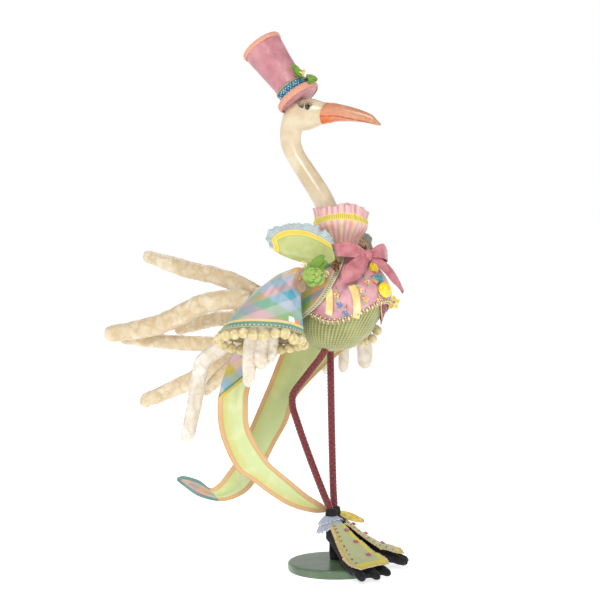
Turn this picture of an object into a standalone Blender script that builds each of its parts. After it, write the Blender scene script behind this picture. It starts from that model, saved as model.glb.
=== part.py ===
"""Dressed stork figurine on a round stand.

Units are metres and +Z is up. +X is the way the bird faces and +Y is its left. The origin is the centre
of the underside of the stand. Free forms are given by a few stations, in millimetres, that a smooth curve
passes through.
"""

import math

import bmesh
import bpy
from mathutils import Vector

MM = 0.001
GAP = 0.3 * MM                      # clearance between pieces that touch

# Stand
DISC_RADIUS = 65.0 * MM
DISC_HEIGHT = 12.0 * MM
DISC_EDGE = 3.5 * MM                # rounding of the disc's edges
DISC_SIDES = 24

# Legs, wire wound with cord, as centre lines from inside the body down into the shoe
LEG_RADIUS = 5.0 * MM
SOLE_THICKNESS = 5.0 * MM           # velvet sole left under the end of a leg
LEG_STEPS = 12
LEG_SIDES_STEP = 1                  # six sides round a leg
RIGHT_ANKLE = (0.0, -8.5)
LEFT_ANKLE = (-6.0, 8.5)
LEG_ENDS = {"right": 50.0 * MM, "left": DISC_HEIGHT + SOLE_THICKNESS}   # height of a leg's lower end
RIGHT_LEG = [(6, -20, 330), (-6, -19, 302), (-32, -18.5, 272), (-54, -18.5, 247), (-59, -18, 236),
             (-58, -17.8, 222), (-52, -17, 205), (-43.5, -15.5, 182), (-28.5, -12.5, 144), (-13, -10, 108),
             (-1, -8.6, 82)]
LEFT_LEG = [(-20, 18, 330), (-19, 17, 302), (-15, 14, 205), (-10, 10.5, 120), (-6.5, 8.6, 82)]

# Shoes and spats, in a frame whose x runs from the ankle to the middle toe
RIGHT_HEADING = math.radians(-18)
LEFT_HEADING = math.radians(39)
ANKLE_RADIUS = 7.9 * MM
ANKLE_TOP = 80.0 * MM
# distance along the foot, half width, height of the instep above the stand
SHOE_STATIONS = [(-7, 4.5, 50), (0, 7.8, 56), (10, 10, 54), (25, 13, 43), (42, 17, 30), (58, 21, 20),
                 (70, 24, 13), (77, 23, 9)]
# distance along the foot, height of its underside above the stand: the right heel is raised
SHOE_SOLES = {"right": [(-7, 30), (10, 27), (25, 18), (42, 8), (58, 0), (77, 0)], "left": [(-7, 0), (77, 0)]}
SHOE_FLARE = 1.12                   # sides of the shoe pushed out, then cut off at the full width
SOLE_TUCK = 0.96                    # width of the sole as a share of the shoe's
ANKLE_SINK = 10.0 * MM              # how far the ankle's lower end is buried in the shoe
TOE_RADIUS = 7.0 * MM
TOE_LENGTH = 104.0 * MM
TOE_ROOT = 60.5 * MM
TOE_SPREAD = 23.0 * MM
TOE_SHORTER = 0.2                   # shortening of the outer toes for each metre of their spread
TOE_ROOT_SPREAD = 0.62              # spread of the outer toes at their root, as a share of the full one
# share of the toe's length, share of its radius
TOE_PROFILE = [(0.0, 1.0), (0.35, 1.0), (0.7, 1.0), (0.9, 0.8), (1.0, 0.3)]
# web between the toes: distance along the foot, half width, height of its top
WEB_STATIONS = [(56, 19, 10), (76, 21, 9), (90, 18, 8)]
WEB_FLOOR = 2.0
TOE_DROOP = 0.32                    # fall of a toe for each metre that it hangs past the stand
TOE_DROOP_START = 5.0 * MM
SPAT_THICKNESS = 1.8 * MM
SPAT_LIFT = 3.2 * MM
SPAT_CROWN = 3.5 * MM               # how far the sides of a spat hang below its middle
SPAT_ROWS = 7
# distance along the foot, half width
SPAT_STATIONS = [(9, 11), (25, 15), (45, 21), (67, 27.5), (91, 31)]
RUFFLE_REACH = 17.0 * MM
RUFFLE_DROP = 18.0 * MM
RUFFLE_THICKNESS = 1.6 * MM
RUFFLE_WAVE = 1.4 * MM
RUFFLE_SPAT_RISE = 14.5 * MM        # the ruffle is raised where it lies on the spat
RUFFLE_STEPS = 17
RUFFLE_TOP_DROP = 3.0 * MM          # its upper edge below the top of the ankle

# Stuffed body: height, centre along X, half length, half width
BODY_STATIONS = [(303, -4, 8, 7), (306.5, -4, 25, 21), (315, -3, 39, 33), (328, 0, 50, 41), (345, 5, 57, 46),
                 (365, 13, 62, 50), (385, 17, 63, 51), (403, 15, 57, 48), (420, 13, 46, 41), (436, 12, 32, 31),
                 (445, 11, 24, 24)]
BODY_SIDES = 22
BODY_ROWS = 11

# Waistcoat: a cloth shell round the body, its hem dipping beside the breast
CLOTH = 2.0 * MM
WAISTCOAT_CLEARANCE = 1.2 * MM
WAISTCOAT_TOP = 443.0 * MM
WAISTCOAT_LENGTH = 80.0 * MM
HEM_HEIGHT = WAISTCOAT_TOP - WAISTCOAT_LENGTH
HEM_WAVES = (-3.3 * MM, 10.0 * MM, 6.4 * MM)   # rise and fall once, twice and three times round the body
WAISTCOAT_ROWS = 7
BEAD_RADIUS = 2.4 * MM

# Neck and head. The neck's plane turns a little to the bird's left.
NECK_YAW = math.radians(11)
# Front point and back point of each section in the neck's plane, and half its width:
# (front forward, front up, back forward, back up, half width)
NECK_SECTIONS = [(16, 424, -12, 424, 14), (13, 462, -15, 460, 14), (5, 492, -20, 481, 14),
                 (-1, 509, -26, 496, 14), (-12, 528, -37, 515, 13.9), (-24, 545, -50, 534, 13.6),
                 (-36, 561, -62, 552, 13), (-46, 575, -73, 569, 12.5), (-51, 587, -79.5, 583, 12.2),
                 (-52.3, 596, -81.7, 596, 12.2), (-50.8, 602, -81.4, 609, 12.8),
                 (-48.5, 605, -78, 624, 14), (-45, 605.5, -71, 638, 15.3), (-40, 606, -59, 646.5, 15.8),
                 (-33.5, 607.8, -44.5, 649.5, 15.3), (-26, 610.3, -31, 648.5, 13.5),
                 (-18.7, 613.4, -17.3, 643.8, 10.5)]
NECK_SIDES = 12
# forward, top height, bottom height, half width
BILL_SECTIONS = [(-17.5, 643.2, 613.6, 11), (1.6, 641.5, 616.6, 9.5), (21.8, 636.6, 616.5, 8),
                 (38.7, 631.3, 615.1, 6), (53.4, 624.8, 612.4, 4), (62, 616.5, 610.5, 2.3), (66.5, 612.3, 610, 1)]
BILL_GROOVE = 0.78                  # half width at the mouth line, as a share of the full one

# Top hat, turned about its own tilted axis
HAT_SEAT = (-52.0, -10.0, 648.5)    # centre of the brim
HAT_AXIS = (-0.60, -0.118, 0.791)
BRIM_RADIUS = 29.0 * MM
BRIM_THICKNESS = 2.6 * MM
BRIM_CURL = 5.5 * MM
CROWN_FOOT_RADIUS = 19.5 * MM
CROWN_TOP_RADIUS = 29.0 * MM
CROWN_HEIGHT = 96.0 * MM
CROWN_DISH = 3.0 * MM
CROWN_FLARE = 1.3                   # how late the crown widens towards its top
HAT_SIDES = 14
BAND_LOW = 7.5 * MM
BAND_HIGH = 19.5 * MM
BAND_THICKNESS = 1.8 * MM
TOP_BRAID_WIDTH = 3.0 * MM
BRAID_RADIUS = 1.8 * MM

# Neck ruff: height, radius, depth of its pleats
RUFF_CENTRE = (9.0, 0.0)
RUFF_STATIONS = [(446, 22, 1.2), (454, 23.5, 2), (464, 27, 2), (474, 33, 1.5), (480, 36, 1), (487, 37, 1),
                 (493, 34, 2.2), (502, 31, 2.8)]
RUFF_PLEATS = 8
RUFF_POINTS_PER_PLEAT = 3
RUFF_DISH = 10.0 * MM

# Coat: height, centre, half length forward, half length back, half width
COAT_STATIONS = [(329, 2, 58, 108, 54), (345, 6, 63, 104, 55), (365, 14, 69, 92, 56), (385, 18, 70, 80, 56.2),
                 (403, 16, 64, 68, 54), (418, 14, 54, 56, 47.5), (432, 13, 42, 42, 41), (446, 12, 32, 33, 33)]
COAT_SIDES = 14
COAT_ROWS = 7
VENT_SLOPE = 0.55                   # share of the vent's half angle over which its hem rises
COAT_EDGE_CURVE = 1.1
COAT_HEM = 331.0 * MM
COAT_TOP = 443.0 * MM
VENT_HEIGHT = 62.0 * MM             # the back is cut away over the tail feathers
VENT_HALF_ANGLE = math.radians(46)
COAT_EDGE_TOP = math.radians(48)    # bearing of the coat's front edge at the collar, from straight ahead
COAT_EDGE_LOW = math.radians(112)   # and at the hem

# Sleeves, right side: path from the shoulder to the opening, half length and half width across it
SLEEVE_PATH = [(-21, -57, 415), (-28, -71, 403), (-42, -85, 372), (-56, -95, 329)]
SLEEVE_TILT = math.radians(27)      # how far the opening looks outward
SLEEVE_TURN = {1: math.radians(26), -1: 0.0}   # how far the long axis is turned to the breast, right and left
SLEEVE_RADII = [(9, 8), (22, 15), (39, 25), (60, 33)]
SLEEVE_SIDES = 16
SLEEVE_ROWS = 5
POMPOM_RADIUS = 7.6 * MM
POMPOM_COUNT = 21
TAPE_RADIUS = 2.4 * MM
POMPOM_DROP = 8.0 * MM
POMPOM_SECTIONS = [-0.47, 0.0, 0.47]   # where the ring of balls is cut, in pitches from a ball's middle
RING_SAMPLES = 4000

# Wing feathers, right side then left: points down each finger, and its radius
RIGHT_WING = [[(-38, -80, 388), (-60, -98, 345), (-69, -103, 315), (-70, -104, 258)],
              [(-36, -79, 390), (-50, -90, 345), (-55, -93, 315), (-56, -95, 282)],
              [(-33, -77, 388), (-40, -84, 345), (-42, -86, 315), (-45, -88, 292)]]
LEFT_WING = [[(-36, 80, 388), (-32, 100, 345), (-26, 113, 310), (-25, 115, 268)],
             [(-38, 79, 390), (-46, 90, 345), (-49, 97, 310), (-51, 98, 262)],
             [(-40, 78, 388), (-60, 84, 345), (-69, 85, 310), (-73, 84, 260)]]
WING_RADII = [(7.5, 7.5, 7), (10, 10, 9), (8, 7.8, 7)]

# Coat tails: left edge and right edge of each strip as it is seen from the front right
RIGHT_TAIL = [((-96, -60, 329), (-60, -50, 327)), ((-127, -67, 293), (-93, -43, 296)),
              ((-136, -80, 255), (-102, -57, 255)), ((-132, -93, 224), (-98, -69, 227)),
              ((-122, -98, 186), (-89, -74, 192)), ((-105, -89, 144), (-68, -62, 152)),
              ((-91, -70, 125), (-58, -47, 135)), ((-78, -50, 106), (-48, -29, 118)),
              ((-58, -26, 86), (-37, -11, 101)), ((-36, -3, 76), (-25, 5, 88)), ((-24, 10, 75), (-19, 13, 79))]
LEFT_TAIL = [((-104, 45, 329), (24, 55, 329)), ((-118, 34, 288), (-33, 50, 289)),
             ((-124, 17, 251), (-69, 37, 253)), ((-131, 6, 223), (-83, 21, 228)),
             ((-140, -7, 189), (-90, 13, 197)), ((-149, -13, 164), (-103, 1, 166)),
             ((-158, -18, 140), (-114, -7, 139)), ((-170, -21, 123), (-131, -16, 105)),
             ((-183, -25, 106), (-151, -22, 89)), ((-197, -28, 98), (-177, -28, 81)),
             ((-215, -31, 108), (-210, -37, 86)), ((-237, -38, 113), (-234, -42, 99)),
             ((-247, -41, 110), (-247, -42, 106))]
TAIL_ROWS = 13
TAIL_COLUMNS = 3
TAIL_THICKNESS = 1.6 * MM

# Hub of the tail feathers: along X, height, half height, half width
HUB_STATIONS = [(-60, 354, 28, 25), (-78, 352, 35, 29), (-105, 347, 42, 31), (-135, 343, 45, 29),
                (-155, 340, 41, 24), (-168, 338, 28, 14)]
HUB_SIDES = 16
# Each long feather: points from inside the hub to its tip, then radius at root, middle and near the tip
TAIL_FEATHERS = [
    ([(-135, -2, 378), (-160, 1, 388), (-201, 4, 400), (-272, 12, 410), (-364, 25, 429)], (11.5, 11, 7.5)),
    ([(-130, -20, 368), (-155, -26, 371), (-211, -32, 361), (-284, -38, 330), (-382, -44, 311)], (12, 12.5, 10)),
    ([(-140, 12, 345), (-179, 20, 341), (-236, 25, 335), (-312, 35, 317)], (9, 9.5, 8)),
    ([(-135, -9, 322), (-160, -11, 311), (-200, -12, 304), (-295, -10, 303), (-384, -6, 304)], (9.5, 9.5, 8)),
    ([(-140, 12, 305), (-173, 12, 292), (-220, 12, 269), (-273, 12, 241), (-361, 12, 206)], (10, 11, 9)),
    ([(-132, -24, 326), (-148, -42, 311), (-186, -51, 286), (-195, -55, 262), (-200, -58, 226),
      (-213, -62, 166)], (8, 9, 8)),
    ([(-138, -14, 300), (-154, -18, 284), (-178, -22, 263), (-212, -24, 232)], (7.5, 8, 6)),
]
FEATHER_STEPS = 8
WING_STEPS = 7
FINGER_SIDES_STEP = 1               # six sides round a finger
TIP_ROUNDING = ((0.72, 0.35), (0.25, 0.0))   # share of the radius near the tip, and of its distance from the tip

# Collar petals, right side: (root, tip) of the long axis and the highest point of the outer edge
PETAL_ROOT = (33, -50, 435)
PETAL_TIP = (-46, -80, 448)
PETAL_CREST = (-30, -68, 472)
PETAL_SAG = 15.0 * MM               # how far the lower edge hangs below the long axis
PETAL_CUP = 7.0 * MM
PETAL_THICKNESS = 1.8 * MM
PETAL_CREST_AT = 0.66               # where the crest stands along the long axis
PETAL_ROWS = 7
PETAL_COLUMNS = 5
# The outline swells as a power of a sine between these shares of its half turn
PETAL_OUTLINE = (0.12, 0.83, 0.6)

# Bow at the throat, on the ruff's lower front
BOW_KNOT = (58.5, -10.5, 435)
BOW_KNOT_RADII = (7, 9, 8)
# The two loops, and the two tails, run through the knot: points, then half width and half thickness
BOW_LOOPS = ([(36, -48, 442), (43, -36, 443), (55, -10, 436), (60, 15, 440), (59, 31, 434)],
             [(5, 3), (10, 5), (4, 3), (10, 5), (7, 3)])
BOW_TAILS = ([(52, -53, 396), (58, -38, 415), (58, -10, 432), (74, 14, 416), (82, 39, 382)],
             [(10, 1.6), (8.5, 2.4), (4, 3), (8, 2.4), (8, 1.6)])
BOW_STEPS = 9

# Small dressings on the chest: bearing from straight ahead in degrees, height above the hem, radii
CHEST_LIFT = 0.6 * MM
CHEST_DOME = ((0.0, 1.0), (0.45, 0.95), (0.8, 0.65), (1.0, 0.2))   # share of the depth, share of the width
CHEST_STANDOFF = 0.8
ROSE = (-8, 52, (6.5, 7.5, 8))
BUTTON = (-8, 26, (4, 11, 11))
RIBBON_KNOT = (-12, 40, (5, 8, 5))
STAR = (25, 8, (4, 8, 8))
STAR_LIFT = 3.2 * MM                # it sits over the beaded hem
STAR_POINTS = 5
STAR_DEPTH = 0.2                    # depth of the star's notches, as a share of its reach

# Posy on the right breast: centre and radii
HYDRANGEA = ((15.5, -72, 410), (14, 10, 14.5))
NUT = ((1.5, -82, 396), (7.5, 7.5, 9.5))
DRIED_FLOWER = ((42, -57, 423), (9, 6, 9))
# Small leaves: root, tip, half width, how much they are cupped
POSY_LEAF = ((10, -76, 427), (27, -72, 433), 6.5, 1.5)
SPRIG_LEAVES = [((-42, -22, 677), (-50, -28, 693), 4.5, 1), ((-35, -20, 678.5), (-23.5, -12, 672.5), 4.5, 1)]
SPRIG_FLOWER = ((-36.5, -18.5, 684), (3, 2.4, 4))
LEAF_THICKNESS = 1.0 * MM
LEAF_ROWS = 5
LEAF_OUTLINE = (0.08, 0.86, 0.8)    # as the petal's
LEAF_TILT = 0.3                     # upward share of the way the leaves face
VIEW_SIDE = (0.57, -0.82)           # the side the small leaves face, front right

# Flap below the waistcoat: bearings of its top corners and its tip, and how far each stands off
FLAP_CORNERS = (math.radians(-8), math.radians(42))
FLAP_TIP = math.radians(24)
FLAP_DROP = 7.4 * MM                # its top edge below the waistcoat's hem
FLAP_LENGTH = 22.0 * MM              # from the waistcoat's hem height to the flap's tip
FLAP_LIFTS = (1.2 * MM, 7.0 * MM)
FLAP_GRID = 5                       # rows and columns of points
FLAP_NARROWING = (1.3, 0.9)         # power and full share of its sides' run to the tip
FLAP_FLARE = 1.5

# Lashes beside the eye, right side: centre, way they face, reach along the head and up it
LASH_CENTRE = (-33.5, -21.4, 637.2)
LASH_FACING = (0.18, -0.93, 0.32)
LASH_REACH = (8.5, 5.0)
LASH_COUNT = 9
LASH_NOTCH = 0.28                   # depth of the gaps between lashes, as a share of the reach

COLOURS = {
    "stand_green": ((0.10, 0.15, 0.10), 0.25, 0.0),
    "leg_cord": ((0.15, 0.02, 0.025), 0.7, 0.0),
    "shoe_velvet": ((0.008, 0.008, 0.012), 0.95, 0.0),
    "spat_check": ((0.50, 0.56, 0.30), 0.8, 0.0),
    "ankle_lace": ((0.40, 0.47, 0.58), 0.85, 0.0),
    "body_check": ((0.38, 0.38, 0.13), 0.9, 0.0),
    "waistcoat_satin": ((0.68, 0.30, 0.38), 0.45, 0.0),
    "gold_beads": ((0.80, 0.62, 0.25), 0.3, 0.4),
    "head_cream": ((0.78, 0.63, 0.40), 0.3, 0.0),
    "lash_black": ((0.01, 0.01, 0.01), 0.5, 0.0),
    "hat_satin": ((0.61, 0.28, 0.30), 0.45, 0.0),
    "sequin_blue": ((0.05, 0.32, 0.52), 0.25, 0.3),
    "braid_peach": ((0.90, 0.45, 0.20), 0.8, 0.0),
    "leaf_green": ((0.16, 0.30, 0.03), 0.6, 0.0),
    "ruff_pink": ((0.76, 0.47, 0.44), 0.7, 0.0),
    "bow_satin": ((0.64, 0.24, 0.24), 0.4, 0.0),
    "coat_plaid": ((0.32, 0.58, 0.58), 0.6, 0.0),
    "collar_satin": ((0.55, 0.58, 0.20), 0.5, 0.0),
    "ball_fringe": ((0.83, 0.71, 0.38), 0.95, 0.0),
    "feather_satin": ((0.76, 0.64, 0.42), 0.4, 0.0),
    "tail_satin": ((0.68, 0.75, 0.35), 0.45, 0.0),
    "petal_green": ((0.38, 0.65, 0.09), 0.7, 0.0),
    "nut_brown": ((0.38, 0.22, 0.11), 0.6, 0.0),
    "flap_maroon": ((0.25, 0.02, 0.06), 0.7, 0.0),
    "yellow_cloth": ((0.85, 0.68, 0.06), 0.6, 0.0),
    "teal_ribbon": ((0.05, 0.42, 0.45), 0.5, 0.0),
}


def clear_scene():
    for old in list(bpy.data.objects):
        bpy.data.objects.remove(old, do_unlink=True)


def new_collection(name):
    made = bpy.data.collections.new(name)
    bpy.context.scene.collection.children.link(made)
    return made


def material(name):
    """The Principled material of this name, made once."""
    known = bpy.data.materials.get(name)
    if known:
        return known
    colour, roughness, metallic = COLOURS[name]
    made = bpy.data.materials.new(name)
    made.use_nodes = True
    shader = made.node_tree.nodes["Principled BSDF"]
    shader.inputs["Base Color"].default_value = (*colour, 1.0)
    shader.inputs["Roughness"].default_value = roughness
    shader.inputs["Metallic"].default_value = metallic
    return made


def scaled(point):
    """A point given in millimetres, in metres."""
    return Vector(point) * MM


def smooth_through(stops, count):
    """That many points along a smooth curve through the stops, tuples of any one length."""
    width = len(stops[0])
    before = tuple(2 * stops[0][i] - stops[1][i] for i in range(width))
    after = tuple(2 * stops[-1][i] - stops[-2][i] for i in range(width))
    padded = [before, *stops, after]
    spans = len(stops) - 1
    points = []
    for step in range(count):
        travel = spans * step / (count - 1)
        span = min(int(travel), spans - 1)
        t = travel - span
        a, b, c, d = padded[span:span + 4]
        points.append(tuple(
            0.5 * (2 * b[i] + (c[i] - a[i]) * t + (2 * a[i] - 5 * b[i] + 4 * c[i] - d[i]) * t ** 2
                   + (3 * b[i] - a[i] - 3 * c[i] + d[i]) * t ** 3)
            for i in range(width)))
    return points


def station(stations, key):
    """The station row at this first value, read from a smooth curve through the rows."""
    keys = [row[0] for row in stations]
    key = min(max(key, keys[0]), keys[-1])
    span = max(i for i in range(len(keys) - 1) if keys[i] <= key)
    share = (key - keys[span]) / (keys[span + 1] - keys[span])
    low = stations[max(span - 1, 0)]
    rows = [low, stations[span], stations[span + 1], stations[min(span + 2, len(keys) - 1)]]
    values = []
    for column in range(1, len(low)):
        a, b, c, d = (row[column] for row in rows)
        values.append(0.5 * (2 * b + (c - a) * share + (2 * a - 5 * b + 4 * c - d) * share ** 2
                             + (3 * b - a - 3 * c + d) * share ** 3))
    return values


def finish_mesh(name, shape, finish, collection):
    """Turns a bmesh into an object with outward faces and rounded shading."""
    bmesh.ops.recalc_face_normals(shape, faces=shape.faces)
    mesh = bpy.data.meshes.new(name)
    shape.to_mesh(mesh)
    shape.free()
    mesh.shade_smooth()
    mesh.set_sharp_from_angle(angle=math.radians(40))
    mesh.materials.append(material(finish))
    made = bpy.data.objects.new(name, mesh)
    collection.objects.link(made)
    return made


def loft(name, rings, finish, collection, closed_path=False):
    """A solid skinned over rings of points; the ends are capped unless the path closes on itself."""
    shape = bmesh.new()
    loops = [[shape.verts.new(point) for point in ring] for ring in rings]
    around = len(loops[0])
    pairs = list(zip(loops, loops[1:]))
    if closed_path:
        pairs.append((loops[-1], loops[0]))
    for lower, upper in pairs:
        for i in range(around):
            j = (i + 1) % around
            shape.faces.new((lower[i], lower[j], upper[j], upper[i]))
    if not closed_path:
        shape.faces.new(loops[0])
        shape.faces.new(loops[-1])
    return finish_mesh(name, shape, finish, collection)


def sheet(name, grid, thickness, finish, collection, wraps=False):
    """Cloth: an open surface over rows of points, thickened outward by Solidify."""
    shape = bmesh.new()
    rows = [[shape.verts.new(point) for point in row] for row in grid]
    across = len(rows[0])
    for lower, upper in zip(rows, rows[1:]):
        for i in range(across if wraps else across - 1):
            j = (i + 1) % across
            shape.faces.new((lower[i], lower[j], upper[j], upper[i]))
    mesh = bpy.data.meshes.new(name)
    shape.to_mesh(mesh)
    shape.free()
    mesh.shade_smooth()
    mesh.set_sharp_from_angle(angle=math.radians(40))
    mesh.materials.append(material(finish))
    made = bpy.data.objects.new(name, mesh)
    collection.objects.link(made)
    thicken = made.modifiers.new("cloth", "SOLIDIFY")
    thicken.thickness = thickness
    thicken.offset = 1.0
    thicken.use_even_offset = True
    return made


def tube(name, points, radii, finish, collection, sides_step=2):
    """A round tube along the points as a curve with filled caps, its radius set at each point."""
    curve = bpy.data.curves.new(name, "CURVE")
    curve.dimensions = "3D"
    curve.bevel_depth = 1.0
    curve.bevel_resolution = sides_step
    curve.use_fill_caps = True
    spline = curve.splines.new("POLY")
    spline.points.add(len(points) - 1)
    for knot, point, radius in zip(spline.points, points, radii):
        knot.co = (*point, 1.0)
        knot.radius = radius
    curve.materials.append(material(finish))
    made = bpy.data.objects.new(name, curve)
    collection.objects.link(made)
    return made


def as_mesh(piece):
    """The same tube as a mesh with its caps welded, so that a Boolean can use it."""
    bpy.context.view_layer.update()
    name = piece.name
    place = piece.matrix_world.copy()
    evaluated = piece.evaluated_get(bpy.context.evaluated_depsgraph_get())
    mesh = bpy.data.meshes.new_from_object(evaluated)
    collection = piece.users_collection[0]
    bpy.data.objects.remove(piece, do_unlink=True)
    shape = bmesh.new()
    shape.from_mesh(mesh)
    bmesh.ops.remove_doubles(shape, verts=shape.verts, dist=GAP / 10)
    bmesh.ops.recalc_face_normals(shape, faces=shape.faces)
    shape.to_mesh(mesh)
    shape.free()
    mesh.shade_smooth()
    made = bpy.data.objects.new(name, mesh)
    made.matrix_world = place
    collection.objects.link(made)
    return made


def helper(piece):
    """Marks a piece as a cutter or a fused shape, which isn't part of the model by itself."""
    piece.hide_render = True
    piece.display_type = "WIRE"
    return piece


def combine(piece, other, operation):
    step = piece.modifiers.new(other.name, "BOOLEAN")
    step.operation = operation
    step.object = other


def cut(piece, cutter):
    combine(piece, cutter, "DIFFERENCE")


def fuse(piece, other):
    combine(piece, other, "UNION")


def ellipsoid(name, centre, radii, finish, collection, segments=12, rings=8):
    shape = bmesh.new()
    bmesh.ops.create_uvsphere(shape, u_segments=segments, v_segments=rings, radius=1.0)
    for vertex in shape.verts:
        vertex.co = Vector(centre) + Vector([vertex.co[i] * radii[i] for i in range(3)])
    return finish_mesh(name, shape, finish, collection)


def extended(points, length):
    """The same path, a little longer at both ends."""
    start = points[0] + (points[0] - points[1]).normalized() * length
    end = points[-1] + (points[-1] - points[-2]).normalized() * length
    return [start, *points[1:-1], end]


def circle_angles(count, start=0.0):
    return [start + 2 * math.pi * i / count for i in range(count)]


def frames_along(points, side):
    """At each point of a path: the direction of travel, and two axes across it, the first near to side."""
    frames = []
    for i, point in enumerate(points):
        ahead = points[min(i + 1, len(points) - 1)]
        behind = points[max(i - 1, 0)]
        travel = (ahead - behind).normalized()
        first = (Vector(side) - travel * travel.dot(Vector(side))).normalized()
        frames.append((point, travel, first, travel.cross(first)))
    return frames


def make_stand(parts):
    bpy.ops.mesh.primitive_cylinder_add(vertices=DISC_SIDES, radius=DISC_RADIUS, depth=DISC_HEIGHT,
                                        location=(0, 0, DISC_HEIGHT / 2))
    disc = bpy.context.object
    disc.name = "base_disc"
    for owner in list(disc.users_collection):
        owner.objects.unlink(disc)
    parts.objects.link(disc)
    disc.data.materials.append(material("stand_green"))
    disc.data.shade_smooth()
    rounding = disc.modifiers.new("edge", "BEVEL")
    rounding.width = DISC_EDGE
    rounding.segments = 2
    rounding.limit_method = "ANGLE"
    return disc


def leg_path(stops, ankle, end):
    """The leg's centre line, its last stretch straight down inside the shoe."""
    foot_end = Vector((*[value * MM for value in ankle], end))
    bend = [scaled(stop) for stop in smooth_through(stops, LEG_STEPS)]
    return [*bend, foot_end]


def make_leg(side_name, stops, ankle, parts, helpers):
    name = f"leg_{side_name}"
    path = leg_path(stops, ankle, LEG_ENDS[side_name])
    tube(name, path, [LEG_RADIUS] * len(path), "leg_cord", parts, LEG_SIDES_STEP)
    socket_path = extended(path, GAP)
    socket = as_mesh(tube(name + "_socket", socket_path, [LEG_RADIUS + GAP] * len(socket_path), "leg_cord",
                          helpers, LEG_SIDES_STEP))
    return helper(socket)


def body_section(height, bearing, lift=0.0):
    """A point on the body at this height and bearing from straight ahead, lifted off it by lift."""
    centre, length, width = station(BODY_STATIONS, height / MM)
    return Vector((centre * MM + (length * MM + lift) * math.cos(bearing),
                   (width * MM + lift) * math.sin(bearing), height))


def make_body(parts, sockets):
    low, high = BODY_STATIONS[0][0], BODY_STATIONS[-1][0]
    rings = []
    for row in range(BODY_ROWS):
        share = 0.5 - 0.5 * math.cos(math.pi * row / (BODY_ROWS - 1))
        height = (low + (high - low) * share) * MM
        rings.append([body_section(height, bearing) for bearing in circle_angles(BODY_SIDES)])
    body = loft("body", rings, "body_check", parts)
    for socket in sockets:
        cut(body, socket)
    return body


def hem_at(bearing):
    return HEM_HEIGHT + sum(wave * math.cos((i + 1) * bearing) for i, wave in enumerate(HEM_WAVES))


def make_waistcoat(parts):
    grid = []
    for row in range(WAISTCOAT_ROWS):
        share = row / (WAISTCOAT_ROWS - 1)
        line = []
        for bearing in circle_angles(BODY_SIDES):
            height = hem_at(bearing) * (1 - share) + WAISTCOAT_TOP * share
            line.append(body_section(height, bearing, WAISTCOAT_CLEARANCE))
        grid.append(line)
    waistcoat = sheet("waistcoat", grid, CLOTH, "waistcoat_satin", parts, wraps=True)
    rings = []
    lift = WAISTCOAT_CLEARANCE + BEAD_RADIUS
    for bearing in circle_angles(BODY_SIDES):
        centre = body_section(hem_at(bearing) - BEAD_RADIUS - 4 * GAP, bearing, lift)
        outward = Vector((math.cos(bearing), math.sin(bearing), 0))
        rings.append([centre + BEAD_RADIUS * (outward * math.cos(turn) + Vector((0, 0, math.sin(turn))))
                      for turn in circle_angles(6)])
    loft("bead_hem", rings, "gold_beads", parts, closed_path=True)
    return waistcoat


def in_neck_plane(forward, up, sideways=0.0):
    return Vector((forward * math.cos(NECK_YAW) - sideways * math.sin(NECK_YAW),
                   forward * math.sin(NECK_YAW) + sideways * math.cos(NECK_YAW), up)) * MM


def across_neck(point):
    """The mirror image of a point in the neck's plane."""
    sideways = Vector((-math.sin(NECK_YAW), math.cos(NECK_YAW), 0))
    return point - sideways * 2 * point.dot(sideways)


def head_rings(swell):
    """Sections of the neck, the head and the bill, swollen by a clearance."""
    rings = []
    for front_x, front_z, back_x, back_z, half in NECK_SECTIONS:
        middle = Vector(((front_x + back_x) / 2, (front_z + back_z) / 2))
        reach = Vector((front_x, front_z)) - middle
        reach *= 1 + swell / reach.length
        ring = []
        for turn in circle_angles(NECK_SIDES):
            spot = middle + reach * math.cos(turn)
            ring.append(in_neck_plane(spot.x, spot.y, (half + swell) * math.sin(turn)))
        rings.append(ring)
    return rings


def bill_rings():
    rings = []
    for forward, top, bottom, half in BILL_SECTIONS:
        middle = (top + bottom) / 2
        ring = []
        for i, turn in enumerate(circle_angles(NECK_SIDES)):
            width = half * math.sin(turn)
            if i in (round(NECK_SIDES / 4), round(3 * NECK_SIDES / 4)):
                width *= BILL_GROOVE
            ring.append(in_neck_plane(forward, middle - (top - bottom) / 2 * math.cos(turn), width))
        rings.append(ring)
    return rings


def make_head(parts, helpers):
    head = loft("head_and_neck", head_rings(0.0) + bill_rings()[1:], "head_cream", parts)
    clearance = helper(loft("head_clearance", head_rings(GAP / MM), "head_cream", helpers))
    return head, clearance


def hat_frame():
    """Centre of the brim, the hat's axis, and two directions across it."""
    axis = Vector(HAT_AXIS).normalized()
    front = (Vector((1, 0, 0)) - axis * axis.x).normalized()
    return scaled(HAT_SEAT), axis, front, axis.cross(front)


def turned(name, profile, finish, parts, closed_path=False):
    """A profile of (radius, height) pairs turned about the hat's axis with a Screw modifier."""
    seat, axis, front, side = hat_frame()
    mesh = bpy.data.meshes.new(name)
    points = [(radius, 0.0, height) for radius, height in profile]
    edges = [(i, i + 1) for i in range(len(points) - 1)]
    if closed_path:
        edges.append((len(points) - 1, 0))
    mesh.from_pydata(points, edges, [])
    mesh.materials.append(material(finish))
    made = bpy.data.objects.new(name, mesh)
    parts.objects.link(made)
    spin = made.modifiers.new("turn", "SCREW")
    spin.axis = "Z"
    spin.steps = HAT_SIDES
    spin.render_steps = HAT_SIDES
    spin.use_merge_vertices = True
    spin.merge_threshold = 0.00001
    made.location = seat
    made.rotation_euler = axis.to_track_quat("Z", "X").to_euler()
    return made


def crown_radius(height):
    share = height / CROWN_HEIGHT
    return CROWN_FOOT_RADIUS + (CROWN_TOP_RADIUS - CROWN_FOOT_RADIUS) * share ** CROWN_FLARE


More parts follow.
